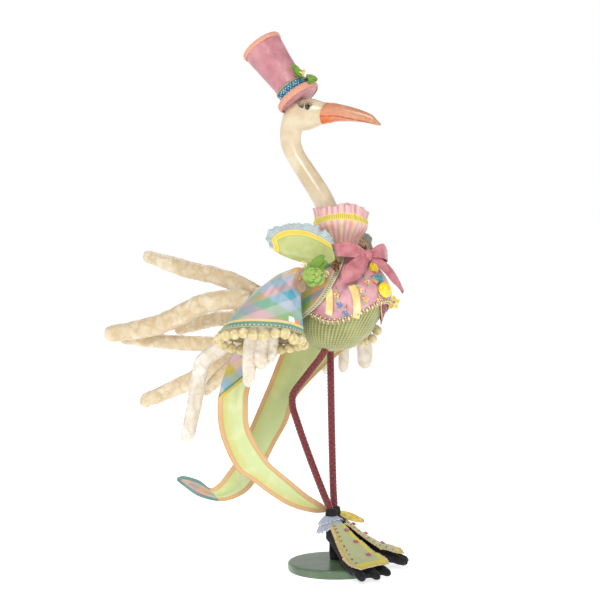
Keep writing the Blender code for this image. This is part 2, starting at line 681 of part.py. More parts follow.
def make_hat(parts, head_clearance):
    thick = BRIM_THICKNESS
    crown = [crown_radius(CROWN_HEIGHT * share) for share in (1.0, 0.75, 0.5, 0.25)]
    profile = [(0.0, CROWN_HEIGHT - CROWN_DISH), (crown[0] - 3 * MM, CROWN_HEIGHT - CROWN_DISH),
               (crown[0] - 1 * MM, CROWN_HEIGHT), (crown[0], CROWN_HEIGHT - 1.5 * MM),
               (crown[1], CROWN_HEIGHT * 0.75), (crown[2], CROWN_HEIGHT * 0.5), (crown[3], CROWN_HEIGHT * 0.25),
               (CROWN_FOOT_RADIUS, thick + 1 * MM), (CROWN_FOOT_RADIUS + 2 * MM, thick),
               (BRIM_RADIUS - 4 * MM, thick + 0.5 * MM), (BRIM_RADIUS - 1 * MM, BRIM_CURL),
               (BRIM_RADIUS, BRIM_CURL - 1 * MM), (BRIM_RADIUS - 0.5 * MM, BRIM_CURL - thick),
               (BRIM_RADIUS - 4 * MM, -thick / 2), (CROWN_FOOT_RADIUS, -thick / 2), (0.0, -thick / 2)]
    hat = turned("top_hat", profile, "hat_satin", parts)
    cut(hat, head_clearance)

    def ring(name, low, high, thickness, finish):
        inner_low, inner_high = crown_radius(low) + 2 * GAP, crown_radius(high) + 2 * GAP
        return turned(name, [(inner_low, low), (inner_high, high), (inner_high + thickness, high),
                             (inner_low + thickness, low)], finish, parts, closed_path=True)

    ring("hat_band", BAND_LOW, BAND_HIGH, BAND_THICKNESS, "sequin_blue")
    ring("hat_top_braid", BAND_HIGH + GAP, BAND_HIGH + GAP + TOP_BRAID_WIDTH, BAND_THICKNESS, "leaf_green")
    centre = BRIM_RADIUS + BRAID_RADIUS + GAP
    braid = [(centre + BRAID_RADIUS * math.cos(turn), BRIM_CURL - 1 * MM + BRAID_RADIUS * math.sin(-turn))
             for turn in circle_angles(6)]
    turned("hat_brim_braid", braid, "braid_peach", parts, closed_path=True)
    return hat


def make_ruff(parts, head_clearance):
    points = RUFF_PLEATS * RUFF_POINTS_PER_PLEAT
    rings = []
    for height, radius, pleat in RUFF_STATIONS:
        ring = []
        for turn in circle_angles(points):
            reach = radius + pleat * math.cos(RUFF_PLEATS * turn)
            ring.append(scaled((RUFF_CENTRE[0] + reach * math.cos(turn), RUFF_CENTRE[1] + reach * math.sin(turn),
                                height)))
        rings.append(ring)
    top = RUFF_STATIONS[-1]
    inner_radius = top[1] / 2
    rings.append([scaled((RUFF_CENTRE[0] + inner_radius * math.cos(turn), RUFF_CENTRE[1] + inner_radius * math.sin(turn),
                          top[0] - RUFF_DISH / MM)) for turn in circle_angles(points)])
    ruff = loft("neck_ruff", rings, "ruff_pink", parts)
    cut(ruff, head_clearance)
    return ruff


def coat_section(height, bearing):
    """A point on the inside of the coat, longer behind than in front."""
    centre, ahead, behind, width = station(COAT_STATIONS, height / MM)
    reach = ahead if math.cos(bearing) > 0 else behind
    return Vector((centre + reach * math.cos(bearing), width * math.sin(bearing), height / MM)) * MM


def coat_hem(bearing):
    from_back = abs(math.pi - bearing)
    share = min(max((VENT_HALF_ANGLE - from_back) / (VENT_HALF_ANGLE * VENT_SLOPE), 0.0), 1.0)
    return COAT_HEM + VENT_HEIGHT * share * share * (3 - 2 * share)


def make_coat(parts):
    grid = []
    for row in range(COAT_ROWS):
        share = row / (COAT_ROWS - 1)
        edge = COAT_EDGE_LOW + (COAT_EDGE_TOP - COAT_EDGE_LOW) * share ** COAT_EDGE_CURVE
        line = []
        for column in range(COAT_SIDES + 1):
            bearing = edge + (2 * math.pi - 2 * edge) * column / COAT_SIDES
            low = coat_hem(bearing)
            height = low + (COAT_TOP - low) * share
            line.append(coat_section(height, bearing))
        grid.append(line)
    return sheet("coat_back", grid, CLOTH, "coat_plaid", parts)


def mirrored(points, side):
    """Points of the right side, or their mirror images for the left."""
    return [(x, y * side, z) for x, y, z in points]


def sleeve_axes(side, share):
    """The long and the short axis of the sleeve's section, turned more towards the opening."""
    turn = SLEEVE_TURN[side] * share
    along = Vector((math.cos(turn), side * math.sin(turn), 0))
    level = Vector((math.sin(turn), -side * math.cos(turn), 0))
    return along, level * math.cos(SLEEVE_TILT) + Vector((0, 0, math.sin(SLEEVE_TILT)))


def sleeve_rings(side, shrink=0.0):
    path = [scaled(point) for point in smooth_through(mirrored(SLEEVE_PATH, side), SLEEVE_ROWS)]
    radii = smooth_through(SLEEVE_RADII, SLEEVE_ROWS)
    rings = []
    for row, (centre, (length, width)) in enumerate(zip(path, radii)):
        along, outward = sleeve_axes(side, row / (SLEEVE_ROWS - 1))
        rings.append([centre + along * (length * MM - shrink) * math.cos(turn)
                      + outward * (width * MM - shrink) * math.sin(turn) for turn in circle_angles(SLEEVE_SIDES)])
    return rings


def make_sleeve(name, side, parts):
    """A bell sleeve: closed at the shoulder, open below, made as an outer and an inner skin."""
    outer = sleeve_rings(side)
    inner = sleeve_rings(side, CLOTH)
    shape = bmesh.new()
    loops = [[shape.verts.new(point) for point in ring] for ring in outer]
    back = [[shape.verts.new(point) for point in ring] for ring in inner[1:]]
    loops.extend(reversed(back))
    for lower, upper in zip(loops, loops[1:]):
        for i in range(SLEEVE_SIDES):
            j = (i + 1) % SLEEVE_SIDES
            shape.faces.new((lower[i], lower[j], upper[j], upper[i]))
    shape.faces.new(loops[0])
    shape.faces.new(loops[-1])
    return finish_mesh(name, shape, "coat_plaid", parts)


def make_ball_fringe(name, side, parts):
    """A tape round the sleeve's opening with balls strung close together, as one closed ring."""
    along, outward = sleeve_axes(side, 1.0)
    down = along.cross(outward) * side
    opening = [point + down * (POMPOM_DROP + GAP) for point in sleeve_rings(side)[-1]]
    centre = sum(opening, Vector()) / len(opening)
    long_axis = (opening[0] - centre)
    short_axis = (opening[SLEEVE_SIDES // 4] - centre)
    curve = [centre + long_axis * math.cos(turn) + short_axis * math.sin(turn)
             for turn in circle_angles(RING_SAMPLES)]
    curve.append(curve[0])
    lengths = [0.0]
    for a, b in zip(curve, curve[1:]):
        lengths.append(lengths[-1] + (b - a).length)
    pitch = lengths[-1] / POMPOM_COUNT
    sections = []
    spot = 0
    for ball in range(POMPOM_COUNT):
        for part in POMPOM_SECTIONS:
            goal = (ball + 0.5 + part) * pitch
            while lengths[spot] < goal:
                spot += 1
            off_centre = abs(part) * pitch
            radius = math.sqrt(max(POMPOM_RADIUS ** 2 - off_centre ** 2, TAPE_RADIUS ** 2))
            travel = (curve[(spot + 1) % RING_SAMPLES] - curve[spot - 1]).normalized()
            out = down.cross(travel)
            sections.append([curve[spot] + radius * (out * math.cos(turn) + down * math.sin(turn))
                             for turn in circle_angles(4)])
    return loft(name, sections, "ball_fringe", parts, closed_path=True)


def finger_radii(root, middle, near_tip, count):
    """Radius along a stuffed finger, closing round at its tip."""
    radii = [value[0] for value in smooth_through([(root,), (middle,), (middle,), (near_tip,)], count - 2)]
    return [value * MM for value in [*radii, *[near_tip * share for share, _back in TIP_ROUNDING]]]


def finger_path(stops, near_tip, count):
    """Points down a finger, the last ones close together so that the tip is round."""
    path = [scaled(point) for point in smooth_through(stops, count - 2)]
    ahead = (path[-1] - path[-2]).normalized()
    tip = path[-1]
    path[-1] = tip - ahead * near_tip * MM
    return [*path, *[tip - ahead * near_tip * back * MM for _share, back in TIP_ROUNDING]]


def finger(name, stops, radii, finish, collection, count=FEATHER_STEPS):
    path = finger_path(stops, radii[2], count)
    return as_mesh(tube(name, path, finger_radii(*radii, count), finish, collection, FINGER_SIDES_STEP))


def make_wing(name, fingers, parts, helpers):
    """Three stuffed fingers sewn together inside the sleeve."""
    first, second, third = fingers
    wing = finger(name, second, WING_RADII[1], "feather_satin", parts, WING_STEPS)
    for number, (stops, radii) in enumerate([(first, WING_RADII[0]), (third, WING_RADII[2])]):
        fuse(wing, helper(finger(f"{name}_finger_{number + 1}", stops, radii, "feather_satin", helpers, WING_STEPS)))
    return wing


def make_tail_strip(name, edges, parts):
    stops = [(*left, *right) for left, right in edges]
    grid = []
    for row in smooth_through(stops, TAIL_ROWS):
        left, right = scaled(row[:3]), scaled(row[3:])
        grid.append([left.lerp(right, column / TAIL_COLUMNS) for column in range(TAIL_COLUMNS + 1)])
    return sheet(name, grid, TAIL_THICKNESS, "tail_satin", parts)


def hub_rings(swell):
    rings = []
    for along, height, tall, wide in HUB_STATIONS:
        rings.append([scaled((along - (swell if along == HUB_STATIONS[-1][0] else 0),
                              (wide + swell) * math.cos(turn), height + (tall + swell) * math.sin(turn)))
                      for turn in circle_angles(HUB_SIDES)])
    return rings


def make_tail_feathers(parts, helpers):
    loft("tail_hub", hub_rings(0.0), "feather_satin", parts)
    clearance = helper(loft("hub_clearance", hub_rings(GAP / MM), "feather_satin", helpers))
    for number, (stops, radii) in enumerate(TAIL_FEATHERS):
        feather = finger(f"tail_feather_{number + 1}", stops, radii, "feather_satin", parts, FEATHER_STEPS)
        cut(feather, clearance)


def make_petal(name, side, parts):
    """A turned back collar petal, a cupped leaf of cloth standing off the breast."""
    root, tip, crest = (scaled(point) for point in mirrored([PETAL_ROOT, PETAL_TIP, PETAL_CREST], side))
    along = tip - root
    rise = crest - (root + along * PETAL_CREST_AT)
    outward = along.cross(rise).normalized() * -side
    start, span, power = PETAL_OUTLINE
    grid = []
    for row in range(PETAL_ROWS):
        s = row / (PETAL_ROWS - 1)
        spread = math.sin(math.pi * min(start + span * s, 1.0)) ** power
        line = []
        for column in range(PETAL_COLUMNS):
            across = -1 + 2 * column / (PETAL_COLUMNS - 1)
            if across > 0:
                offset = rise * across * spread
            else:
                offset = Vector((0, 0, PETAL_SAG)) * across * spread
            cup = PETAL_CUP * (1 - across * across) * math.sin(math.pi * s)
            line.append(root + along * s + offset - outward * cup)
        grid.append(line)
    return sheet(name, grid, PETAL_THICKNESS, "collar_satin", parts)


def make_bow(parts, helpers):
    bow = ellipsoid("bow", scaled(BOW_KNOT), [r * MM for r in BOW_KNOT_RADII], "bow_satin", parts, 10, 6)
    for name, (stops, sizes) in (("bow_loops", BOW_LOOPS), ("bow_tails", BOW_TAILS)):
        path = [scaled(point) for point in smooth_through(stops, BOW_STEPS)]
        radii = smooth_through(sizes, BOW_STEPS)
        rings = []
        for (centre, _travel, first, second), (wide, thick) in zip(frames_along(path, (0, 0.3, 1)), radii):
            rings.append([centre + (first * wide * math.cos(turn) + second * thick * math.sin(turn)) * MM
                          for turn in circle_angles(8)])
        fuse(bow, helper(loft(name, rings, "bow_satin", helpers)))
    return bow


def on_chest(bearing_degrees, above_hem, lift):
    """A spot on the waistcoat, and the direction that faces out of it."""
    bearing = math.radians(bearing_degrees)
    height = HEM_HEIGHT + above_hem * MM
    off = WAISTCOAT_CLEARANCE + CLOTH + lift
    spot = body_section(height, bearing, off)
    up = body_section(height + 3 * MM, bearing, off) - spot
    beside = body_section(height, bearing + 0.05, off) - spot
    return spot, beside.cross(up).normalized()


def chest_piece(name, place, finish, parts, shape_radius=None, lift=CHEST_LIFT):
    """A domed ornament set on the waistcoat: depth, half width, half height."""
    bearing, above_hem, (depth, wide, tall) = place
    spot, outward = on_chest(bearing, above_hem, lift)
    side = Vector((0, 0, 1)).cross(outward).normalized()
    up = outward.cross(side)
    rings = []
    for level, share in CHEST_DOME:
        ring = []
        for turn in circle_angles(15 if shape_radius else 12):
            reach = share * (shape_radius(turn) if shape_radius else 1.0)
            ring.append(spot + (outward * (depth * level + CHEST_STANDOFF) + side * wide * reach * math.cos(turn)
                                + up * tall * reach * math.sin(turn)) * MM)
        rings.append(ring)
    return loft(name, rings, finish, parts)


def star_reach(turn):
    return 1 - STAR_DEPTH + STAR_DEPTH * math.cos(STAR_POINTS * turn)


def make_flap(parts):
    grid = []
    for row in range(FLAP_GRID):
        share = row / (FLAP_GRID - 1)
        lift = FLAP_LIFTS[0] + (FLAP_LIFTS[1] - FLAP_LIFTS[0]) * share ** FLAP_FLARE
        inward = share ** FLAP_NARROWING[0] * FLAP_NARROWING[1]
        line = []
        for column in range(FLAP_GRID):
            corner = FLAP_CORNERS[0] + (FLAP_CORNERS[1] - FLAP_CORNERS[0]) * column / (FLAP_GRID - 1)
            high = hem_at(corner) - FLAP_DROP
            height = high + (HEM_HEIGHT - FLAP_LENGTH - high) * share
            line.append(body_section(height, corner + (FLAP_TIP - corner) * inward, lift))
        grid.append(line)
    return sheet("waistcoat_flap", grid, LEAF_THICKNESS, "flap_maroon", parts)


def make_chest_dressings(parts):
    chest_piece("yellow_rose", ROSE, "yellow_cloth", parts)
    chest_piece("yellow_button", BUTTON, "yellow_cloth", parts)
    chest_piece("ribbon_knot", RIBBON_KNOT, "teal_ribbon", parts)
    chest_piece("star_flower", STAR, "yellow_cloth", parts, star_reach, STAR_LIFT)
    make_flap(parts)


def make_leaf(name, leaf, parts):
    root, tip = scaled(leaf[0]), scaled(leaf[1])
    half_width, cup = leaf[2] * MM, leaf[3] * MM
    along = tip - root
    facing = Vector((VIEW_SIDE[0], VIEW_SIDE[1], LEAF_TILT)).normalized()
    across = along.cross(facing).normalized()
    out = across.cross(along).normalized()
    start, span, power = LEAF_OUTLINE
    grid = []
    for row in range(LEAF_ROWS):
        share = row / (LEAF_ROWS - 1)
        spread = half_width * math.sin(math.pi * (start + span * share)) ** power
        grid.append([root + along * share + across * spread * step - out * cup * (1 - step * step)
                     for step in (-1, 0, 1)])
    return sheet(name, grid, LEAF_THICKNESS, "leaf_green", parts)


def make_lashes(side_name, side, parts):
    """A flat fan of lashes standing beside the eye."""
    centre = scaled(LASH_CENTRE)
    facing = Vector(LASH_FACING).normalized()
    if side < 0:
        centre = across_neck(centre)
        facing = across_neck(facing)
    up = (Vector((0, 0, 1)) - facing * facing.z).normalized()
    back = up.cross(facing)
    rings = []
    for level in (0.0, LEAF_THICKNESS):
        ring = []
        for i, turn in enumerate(circle_angles(LASH_COUNT * 2)):
            reach = 1 - LASH_NOTCH * (i % 2)
            ring.append(centre + facing * level + (back * LASH_REACH[0] * math.cos(turn)
                                                   + up * LASH_REACH[1] * math.sin(turn)) * reach * MM)
        rings.append(ring)
    return loft(f"eyelashes_{side_name}", rings, "lash_black", parts)


def make_posy(parts):
    for name, (centre, radii), finish in (("hydrangea", HYDRANGEA, "petal_green"), ("nut", NUT, "nut_brown"),
                                          ("dried_flower", DRIED_FLOWER, "nut_brown")):
        ellipsoid(name, scaled(centre), [r * MM for r in radii], finish, parts, 10, 6)
    make_leaf("posy_leaf", POSY_LEAF, parts)


def make_hat_sprig(parts):
    for number, leaf in enumerate(SPRIG_LEAVES):
        make_leaf(f"hat_leaf_{number + 1}", leaf, parts)
    centre, radii = SPRIG_FLOWER
    ellipsoid("hat_flower", scaled(centre), [r * MM for r in radii], "yellow_cloth", parts, 8, 5)


def foot_point(ankle, heading, along, across, height):
    """A point of the foot's own frame, sagging where it passes the edge of the stand."""
    spot = Vector((ankle[0] * MM + along * math.cos(heading) - across * math.sin(heading),
                   ankle[1] * MM + along * math.sin(heading) + across * math.cos(heading)))
    overhang = max(spot.length - DISC_RADIUS - TOE_DROOP_START, 0.0)
    return Vector((spot.x, spot.y, DISC_HEIGHT + GAP + height - TOE_DROOP * overhang))


def instep_height(along):
    _half, rise = station(SHOE_STATIONS, along / MM)
    return rise * MM


def make_shoe(side_name, ankle, heading, socket, parts, helpers):
    rings = []
    for along, half, rise in SHOE_STATIONS:
        floor, = station(SHOE_SOLES[side_name], along)
        ring = []
        for turn in circle_angles(12, math.pi / 12):
            across = half * MM * max(-1, min(1, SHOE_FLARE * math.cos(turn)))
            height = (floor + max(math.sin(turn), 0) * (rise - floor)) * MM
            if math.sin(turn) < 0:
                across *= SOLE_TUCK
            ring.append(foot_point(ankle, heading, along * MM, across, height))
        rings.append(ring)
    shoe = loft(f"shoe_{side_name}", rings, "shoe_velvet", parts)
    low = DISC_HEIGHT + ANKLE_SINK + station(SHOE_SOLES[side_name], 0)[0] * MM
    ends = [Vector((ankle[0] * MM, ankle[1] * MM, height)) for height in (low, ANKLE_TOP)]
    fuse(shoe, helper(as_mesh(tube(f"ankle_{side_name}", ends, [ANKLE_RADIUS] * 2, "shoe_velvet", helpers))))
    for number, spread in enumerate((-TOE_SPREAD, 0.0, TOE_SPREAD)):
        path = []
        radii = []
        for share, swell in TOE_PROFILE:
            reach = TOE_LENGTH - abs(spread) * TOE_SHORTER
            along = TOE_ROOT + (reach - TOE_ROOT) * share
            across = spread * (TOE_ROOT_SPREAD + (1 - TOE_ROOT_SPREAD) * share)
            path.append(foot_point(ankle, heading, along, across, TOE_RADIUS + GAP))
            radii.append(TOE_RADIUS * swell)
        fuse(shoe, helper(as_mesh(tube(f"toe_{side_name}_{number + 1}", path, radii, "shoe_velvet", helpers,
                                       FINGER_SIDES_STEP))))
    web = []
    for along, half, top in WEB_STATIONS:
        corners = [(-half, WEB_FLOOR), (half, WEB_FLOOR), (half, top - 1), (half / 2, top), (-half / 2, top),
                   (-half, top - 1)]
        web.append([foot_point(ankle, heading, along * MM, across * MM, height * MM) for across, height in corners])
    fuse(shoe, helper(loft(f"web_{side_name}", web, "shoe_velvet", helpers)))
    cut(shoe, socket)
    return shoe


def make_spat(side_name, ankle, heading, parts):
    grid = []
    for along, half in smooth_through(SPAT_STATIONS, SPAT_ROWS):
        lift = instep_height(along * MM) + SPAT_LIFT
        floor = 2 * TOE_RADIUS + SPAT_LIFT
        line = []
        for column in range(5):
            across = -1 + column / 2
            line.append(foot_point(ankle, heading, along * MM, across * half * MM,
                                   max(lift - SPAT_CROWN * across * across, floor)))
        grid.append(line)
    return sheet(f"spat_{side_name}", grid, SPAT_THICKNESS, "spat_check", parts)


def make_ankle_ruffle(side_name, ankle, start, end, heading, parts):
    """A gathered frill round the outer side of the ankle, from one bearing to another."""
    rings = []
    centre = Vector((ankle[0] * MM, ankle[1] * MM, 0))
    for step in range(RUFFLE_STEPS):
        bearing = start + (end - start) * step / (RUFFLE_STEPS - 1)
        out = Vector((math.cos(bearing), math.sin(bearing), 0))
        wave = RUFFLE_WAVE * math.cos(step * math.pi / 2)
        over_spat = max(math.cos(bearing - heading), 0.0)
        top = ANKLE_TOP - RUFFLE_TOP_DROP
        low = top - RUFFLE_DROP + over_spat * RUFFLE_SPAT_RISE + wave
        inner = ANKLE_RADIUS + 2 * GAP
        rings.append([centre + out * inner + Vector((0, 0, top)),
                      centre + out * RUFFLE_REACH + Vector((0, 0, low)),
                      centre + out * (RUFFLE_REACH - 1 * MM) + Vector((0, 0, low - RUFFLE_THICKNESS)),
                      centre + out * inner + Vector((0, 0, top - 2 * RUFFLE_THICKNESS))])
    return loft(f"ankle_ruffle_{side_name}", rings, "ankle_lace", parts)


def main():
    clear_scene()
    parts = new_collection("stork_figurine")
    helpers = new_collection("helpers")
    make_stand(parts)
    right_socket = make_leg("right", RIGHT_LEG, RIGHT_ANKLE, parts, helpers)
    left_socket = make_leg("left", LEFT_LEG, LEFT_ANKLE, parts, helpers)
    _head, head_clearance = make_head(parts, helpers)
    make_body(parts, [right_socket, left_socket, head_clearance])
    make_waistcoat(parts)
    make_ruff(parts, head_clearance)
    make_hat(parts, head_clearance)
    make_hat_sprig(parts)
    make_coat(parts)
    make_bow(parts, helpers)
    make_chest_dressings(parts)
    make_posy(parts)
    make_tail_feathers(parts, helpers)
    for side_name, side, wing in (("right", 1, RIGHT_WING), ("left", -1, LEFT_WING)):
        make_sleeve(f"sleeve_{side_name}", side, parts)
        make_ball_fringe(f"ball_fringe_{side_name}", side, parts)
        make_wing(f"wing_feathers_{side_name}", wing, parts, helpers)
        make_petal(f"collar_petal_{side_name}", side, parts)
        make_lashes(side_name, side, parts)
    make_tail_strip("coat_tail_right", RIGHT_TAIL, parts)
    make_tail_strip("coat_tail_left", LEFT_TAIL, parts)
    make_shoe("right", RIGHT_ANKLE, RIGHT_HEADING, right_socket, parts, helpers)
    make_shoe("left", LEFT_ANKLE, LEFT_HEADING, left_socket, parts, helpers)
    make_spat("right", RIGHT_ANKLE, RIGHT_HEADING, parts)
    make_spat("left", LEFT_ANKLE, LEFT_HEADING, parts)
    make_ankle_ruffle("right", RIGHT_ANKLE, math.radians(-150), math.radians(15), RIGHT_HEADING, parts)
    make_ankle_ruffle("left", LEFT_ANKLE, math.radians(30), math.radians(160), LEFT_HEADING, parts)


main()
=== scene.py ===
"""Looks of the dressed stork figurine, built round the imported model.

Everything is in metres in the model's own frame: +X is the way the bird faces, +Y its left, +Z up. Stations
and points of the free forms are listed in millimetres, as the model's own are, because this script can't
read that source.
"""

import random
from math import copysign, cos, exp, hypot, pi, radians, sin, sqrt

import bmesh
import bpy
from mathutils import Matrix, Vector, noise


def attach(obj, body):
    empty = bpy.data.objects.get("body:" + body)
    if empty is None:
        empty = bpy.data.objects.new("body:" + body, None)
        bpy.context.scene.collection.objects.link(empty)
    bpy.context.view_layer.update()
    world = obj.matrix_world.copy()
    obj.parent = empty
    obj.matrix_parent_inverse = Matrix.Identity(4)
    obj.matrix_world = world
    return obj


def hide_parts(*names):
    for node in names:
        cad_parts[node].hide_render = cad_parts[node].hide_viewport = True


MM = 0.001
TURN = 2 * pi
GOLDEN_ANGLE = 2.39996
SIDES = (("right", 1), ("left", -1))

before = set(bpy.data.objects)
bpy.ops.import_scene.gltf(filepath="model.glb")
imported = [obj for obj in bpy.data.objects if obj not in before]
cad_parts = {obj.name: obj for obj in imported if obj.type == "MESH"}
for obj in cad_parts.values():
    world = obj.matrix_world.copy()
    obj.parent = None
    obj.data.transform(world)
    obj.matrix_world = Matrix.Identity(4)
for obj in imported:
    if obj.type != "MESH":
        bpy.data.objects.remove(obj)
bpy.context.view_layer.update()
rng = random.Random(11)

# Camera, set to the photograph's viewing angle
CAMERA_PLACE = (1.2226, -1.8297, 0.492)
CAMERA_LOOK = (-0.5728, 0.8180, -0.0539)
CAMERA_LENS = 96.4

# Lights: name, place, size, power
LIGHTS_AIM = (-0.05, 0, 0.38)
LIGHTS = (("key", (0.7, -1.7, 1.9), 0.8, 25), ("fill", (2.0, 0.5, 1.1), 1.4, 6),
          ("back", (-1.5, 0.8, 1.7), 1.2, 9))
FLOOR_REACH = 40.0

# Stand, legs and feet
DISC_RADIUS = 65.0
DISC_PROFILE = [(0.0, 0.0), (30.0, 0.0), (60.5, 0.0), (63.2, 0.35), (64.5, 1.6), (65.0, 4.0), (65.0, 8.2),
                (64.3, 10.4), (62.6, 11.6), (60.0, 12.0), (45.0, 12.05), (20.0, 12.05), (0.0, 12.05)]
DISC_HEIGHT = 12.0
LEG_RADIUS = 5.0
CORD_STRANDS = 4
CORD_PITCH = 10.0
ANKLES = {"right": (0.0, -8.5), "left": (-6.0, 8.5)}
HEADINGS = {"right": radians(-18), "left": radians(39)}
LEG_STOPS = {
    "right": [(6, -20, 330), (-6, -19, 302), (-32, -18.5, 272), (-54, -18.5, 247), (-59, -18, 236),
              (-58, -17.8, 222), (-52, -17, 205), (-43.5, -15.5, 182), (-28.5, -12.5, 144), (-13, -10, 108),
              (-1, -8.6, 82), (0, -8.5, 66), (0, -8.5, 50)],
    "left": [(-20, 18, 330), (-19, 17, 302), (-15, 14, 205), (-10, 10.5, 120), (-6.5, 8.6, 82),
             (-6, 8.5, 45), (-6, 8.5, 17)],
}
SHOE_STATIONS = [(-7, 4.5, 50), (0, 7.8, 56), (10, 10, 54), (25, 13, 43), (42, 17, 30), (58, 21, 20),
                 (70, 24, 13), (77, 23, 9)]
TOE_RADIUS = 7.0
TOE_DROOP = 0.32
TOE_DROOP_START = 5.0
SPAT_LIFT = 3.6
SPAT_STATIONS = [(15, 11.5), (27, 15), (45, 21), (67, 27.5), (92, 32)]
RUFFLE_SPANS = {"right": (-150, 15), "left": (30, 160)}

# Body: height, centre along X, half length, half width
BODY_STATIONS = [(303, -4, 8, 7), (306.5, -4, 25, 21), (315, -3, 39, 33), (328, 0, 50, 41), (345, 5, 57, 46),
                 (365, 13, 62, 50), (385, 17, 63, 51), (403, 15, 57, 48), (420, 13, 46, 41),
                 (436, 12, 32, 31),
                 (445, 11, 24, 24)]
WAISTCOAT_LIFT = 1.2
WAISTCOAT_TOP = 443.0
CLOTH = 2.0
HEM_HEIGHT = 363.0
HEM_WAVES = (-3.3, 10.0, 6.4)

# Neck, head and bill: front point, back point in the neck's plane, half width
NECK_YAW = radians(11)
NECK_SECTIONS = [(16, 424, -12, 424, 14), (13, 462, -15, 460, 14), (5, 492, -20, 481, 14),
                 (-1, 509, -26, 496, 14), (-12, 528, -37, 515, 13.9), (-24, 545, -50, 534, 13.6),
                 (-36, 561, -62, 552, 13), (-46, 575, -73, 569, 12.5), (-51, 587, -79.5, 583, 12.2),
                 (-52.3, 596, -81.7, 596, 12.2), (-50.8, 602, -81.4, 609, 12.8),
                 (-48.5, 605, -78, 624, 14), (-45, 605.5, -71, 638, 15.3), (-40, 606, -59, 646.5, 15.8),
                 (-33.5, 607.8, -44.5, 649.5, 15.3), (-26, 610.3, -31, 648.5, 13.5),
                 (-18.7, 613.4, -17.3, 643.8, 10.9)]
# forward, top height, bottom height, half width
BILL_SECTIONS = [(-8, 642.6, 614.8, 10.2), (1.6, 641.5, 616.6, 9.5), (21.8, 636.6, 616.5, 8),
                 (38.7, 631.3, 615.1, 6), (53.4, 624.8, 612.4, 4), (62, 616.5, 610.5, 2.3),
                 (66.5, 612.3, 610, 1)]
BILL_ROOT = -19.0
EYE = (-32.6, -20.2, 636.4)
EYE_RADIUS = 3.3

# Top hat
HAT_SEAT = (-52.0, -10.0, 648.5)
HAT_AXIS = (-0.60, -0.118, 0.791)
CROWN_FOOT = 19.5
CROWN_TOP = 29.0
CROWN_HEIGHT = 96.0
BAND_LOW = 7.5
BAND_HIGH = 19.5

# Ruff: height, radius, depth of its pleats
RUFF_CENTRE = (9.0, 0.0)
RUFF_PROFILE = [(446, 22, 0.5), (454, 23.8, 1.3), (464, 27.5, 1.8), (474, 33, 1.5), (480, 36, 0.7),
                (486.5, 37.2, 0.6), (490, 35.5, 1.0), (494, 33.8, 2.0), (499, 33.6, 2.6), (504.5, 34.2, 3.0),
                (500, 28.5, 2.4), (495, 24, 1.6), (492, 19.5, 0.8), (491, 17.5, 0.3)]
RUFF_PLEATS = 26
RUFF_SAG = 8.0

# Coat: height, centre, half length forward, half length back, half width
COAT_STATIONS = [(329, 2, 58, 108, 54), (345, 6, 63, 104, 55), (365, 14, 69, 92, 56),
                 (385, 18, 70, 80, 56.2),
                 (403, 16, 64, 68, 54), (418, 14, 54, 56, 47.5), (432, 13, 42, 42, 41),
                 (446, 12, 32, 33, 33)]
COAT_HEM = 331.0
COAT_TOP = 443.0
VENT_HEIGHT = 62.0
VENT_HALF_ANGLE = radians(46)
COAT_EDGE_TOP = radians(48)
COAT_EDGE_LOW = radians(112)

# Sleeves, right side; the left one is its mirror image but for the turn
SLEEVE_PATH = [(-21, -57, 415), (-28, -71, 403), (-42, -85, 372), (-56, -95, 329)]
SLEEVE_RADII = [(9, 8), (22, 15), (39, 25), (60, 33)]
SLEEVE_TILT = radians(27)
SLEEVE_TURN = {1: radians(26), -1: 0.0}
POMPOM_COUNT = 21
POMPOM_RADII = (6.4, 7.5)
POMPOM_HANG = (8.0, 14.0)
POMPOM_HAIRS = 150

WINGS = {
    "right": [[(-38, -80, 388), (-60, -98, 345), (-69, -103, 315), (-70, -104, 258)],
              [(-36, -79, 390), (-50, -90, 345), (-55, -93, 315), (-56, -95, 282)],
              [(-33, -77, 388), (-40, -84, 345), (-42, -86, 315), (-45, -88, 292)]],
    "left": [[(-36, 80, 388), (-32, 100, 345), (-26, 113, 310), (-25, 115, 268)],
             [(-38, 79, 390), (-46, 90, 345), (-49, 97, 310), (-51, 98, 262)],
             [(-40, 78, 388), (-60, 84, 345), (-69, 85, 310), (-73, 84, 260)]],
}
WING_ORDER = {"right": (0, 1, 2), "left": (1, 0, 2)}
WING_RADII = [(7.5, 7.5, 7), (10, 10, 9), (8, 7.8, 7)]

# Coat tails: left edge and right edge of each strip as seen from the front right
TAILS = {
    "right": [((-96, -60, 329), (-60, -50, 327)), ((-127, -67, 293), (-93, -43, 296)),
              ((-136, -80, 255), (-102, -57, 255)), ((-132, -93, 224), (-98, -69, 227)),
              ((-122, -98, 186), (-89, -74, 192)), ((-105, -89, 144), (-68, -62, 152)),
              ((-91, -70, 125), (-58, -47, 135)), ((-78, -50, 106), (-48, -29, 118)),
              ((-58, -26, 86), (-37, -11, 101)), ((-36, -3, 76), (-25, 5, 88)),
              ((-24, 10, 75), (-19, 13, 79))],
    "left": [((-104, 45, 329), (24, 55, 329)), ((-118, 34, 288), (-33, 50, 289)),
             ((-124, 17, 251), (-69, 37, 253)), ((-131, 6, 223), (-83, 21, 228)),
             ((-140, -7, 189), (-90, 13, 197)), ((-149, -13, 164), (-103, 1, 166)),
             ((-158, -18, 140), (-114, -7, 139)), ((-170, -21, 123), (-131, -16, 105)),
             ((-183, -25, 106), (-151, -22, 89)), ((-197, -28, 98), (-177, -28, 81)),
             ((-215, -31, 108), (-210, -37, 86)), ((-237, -38, 113), (-234, -42, 99)),
             ((-247, -41, 110), (-247, -42, 106))],
}

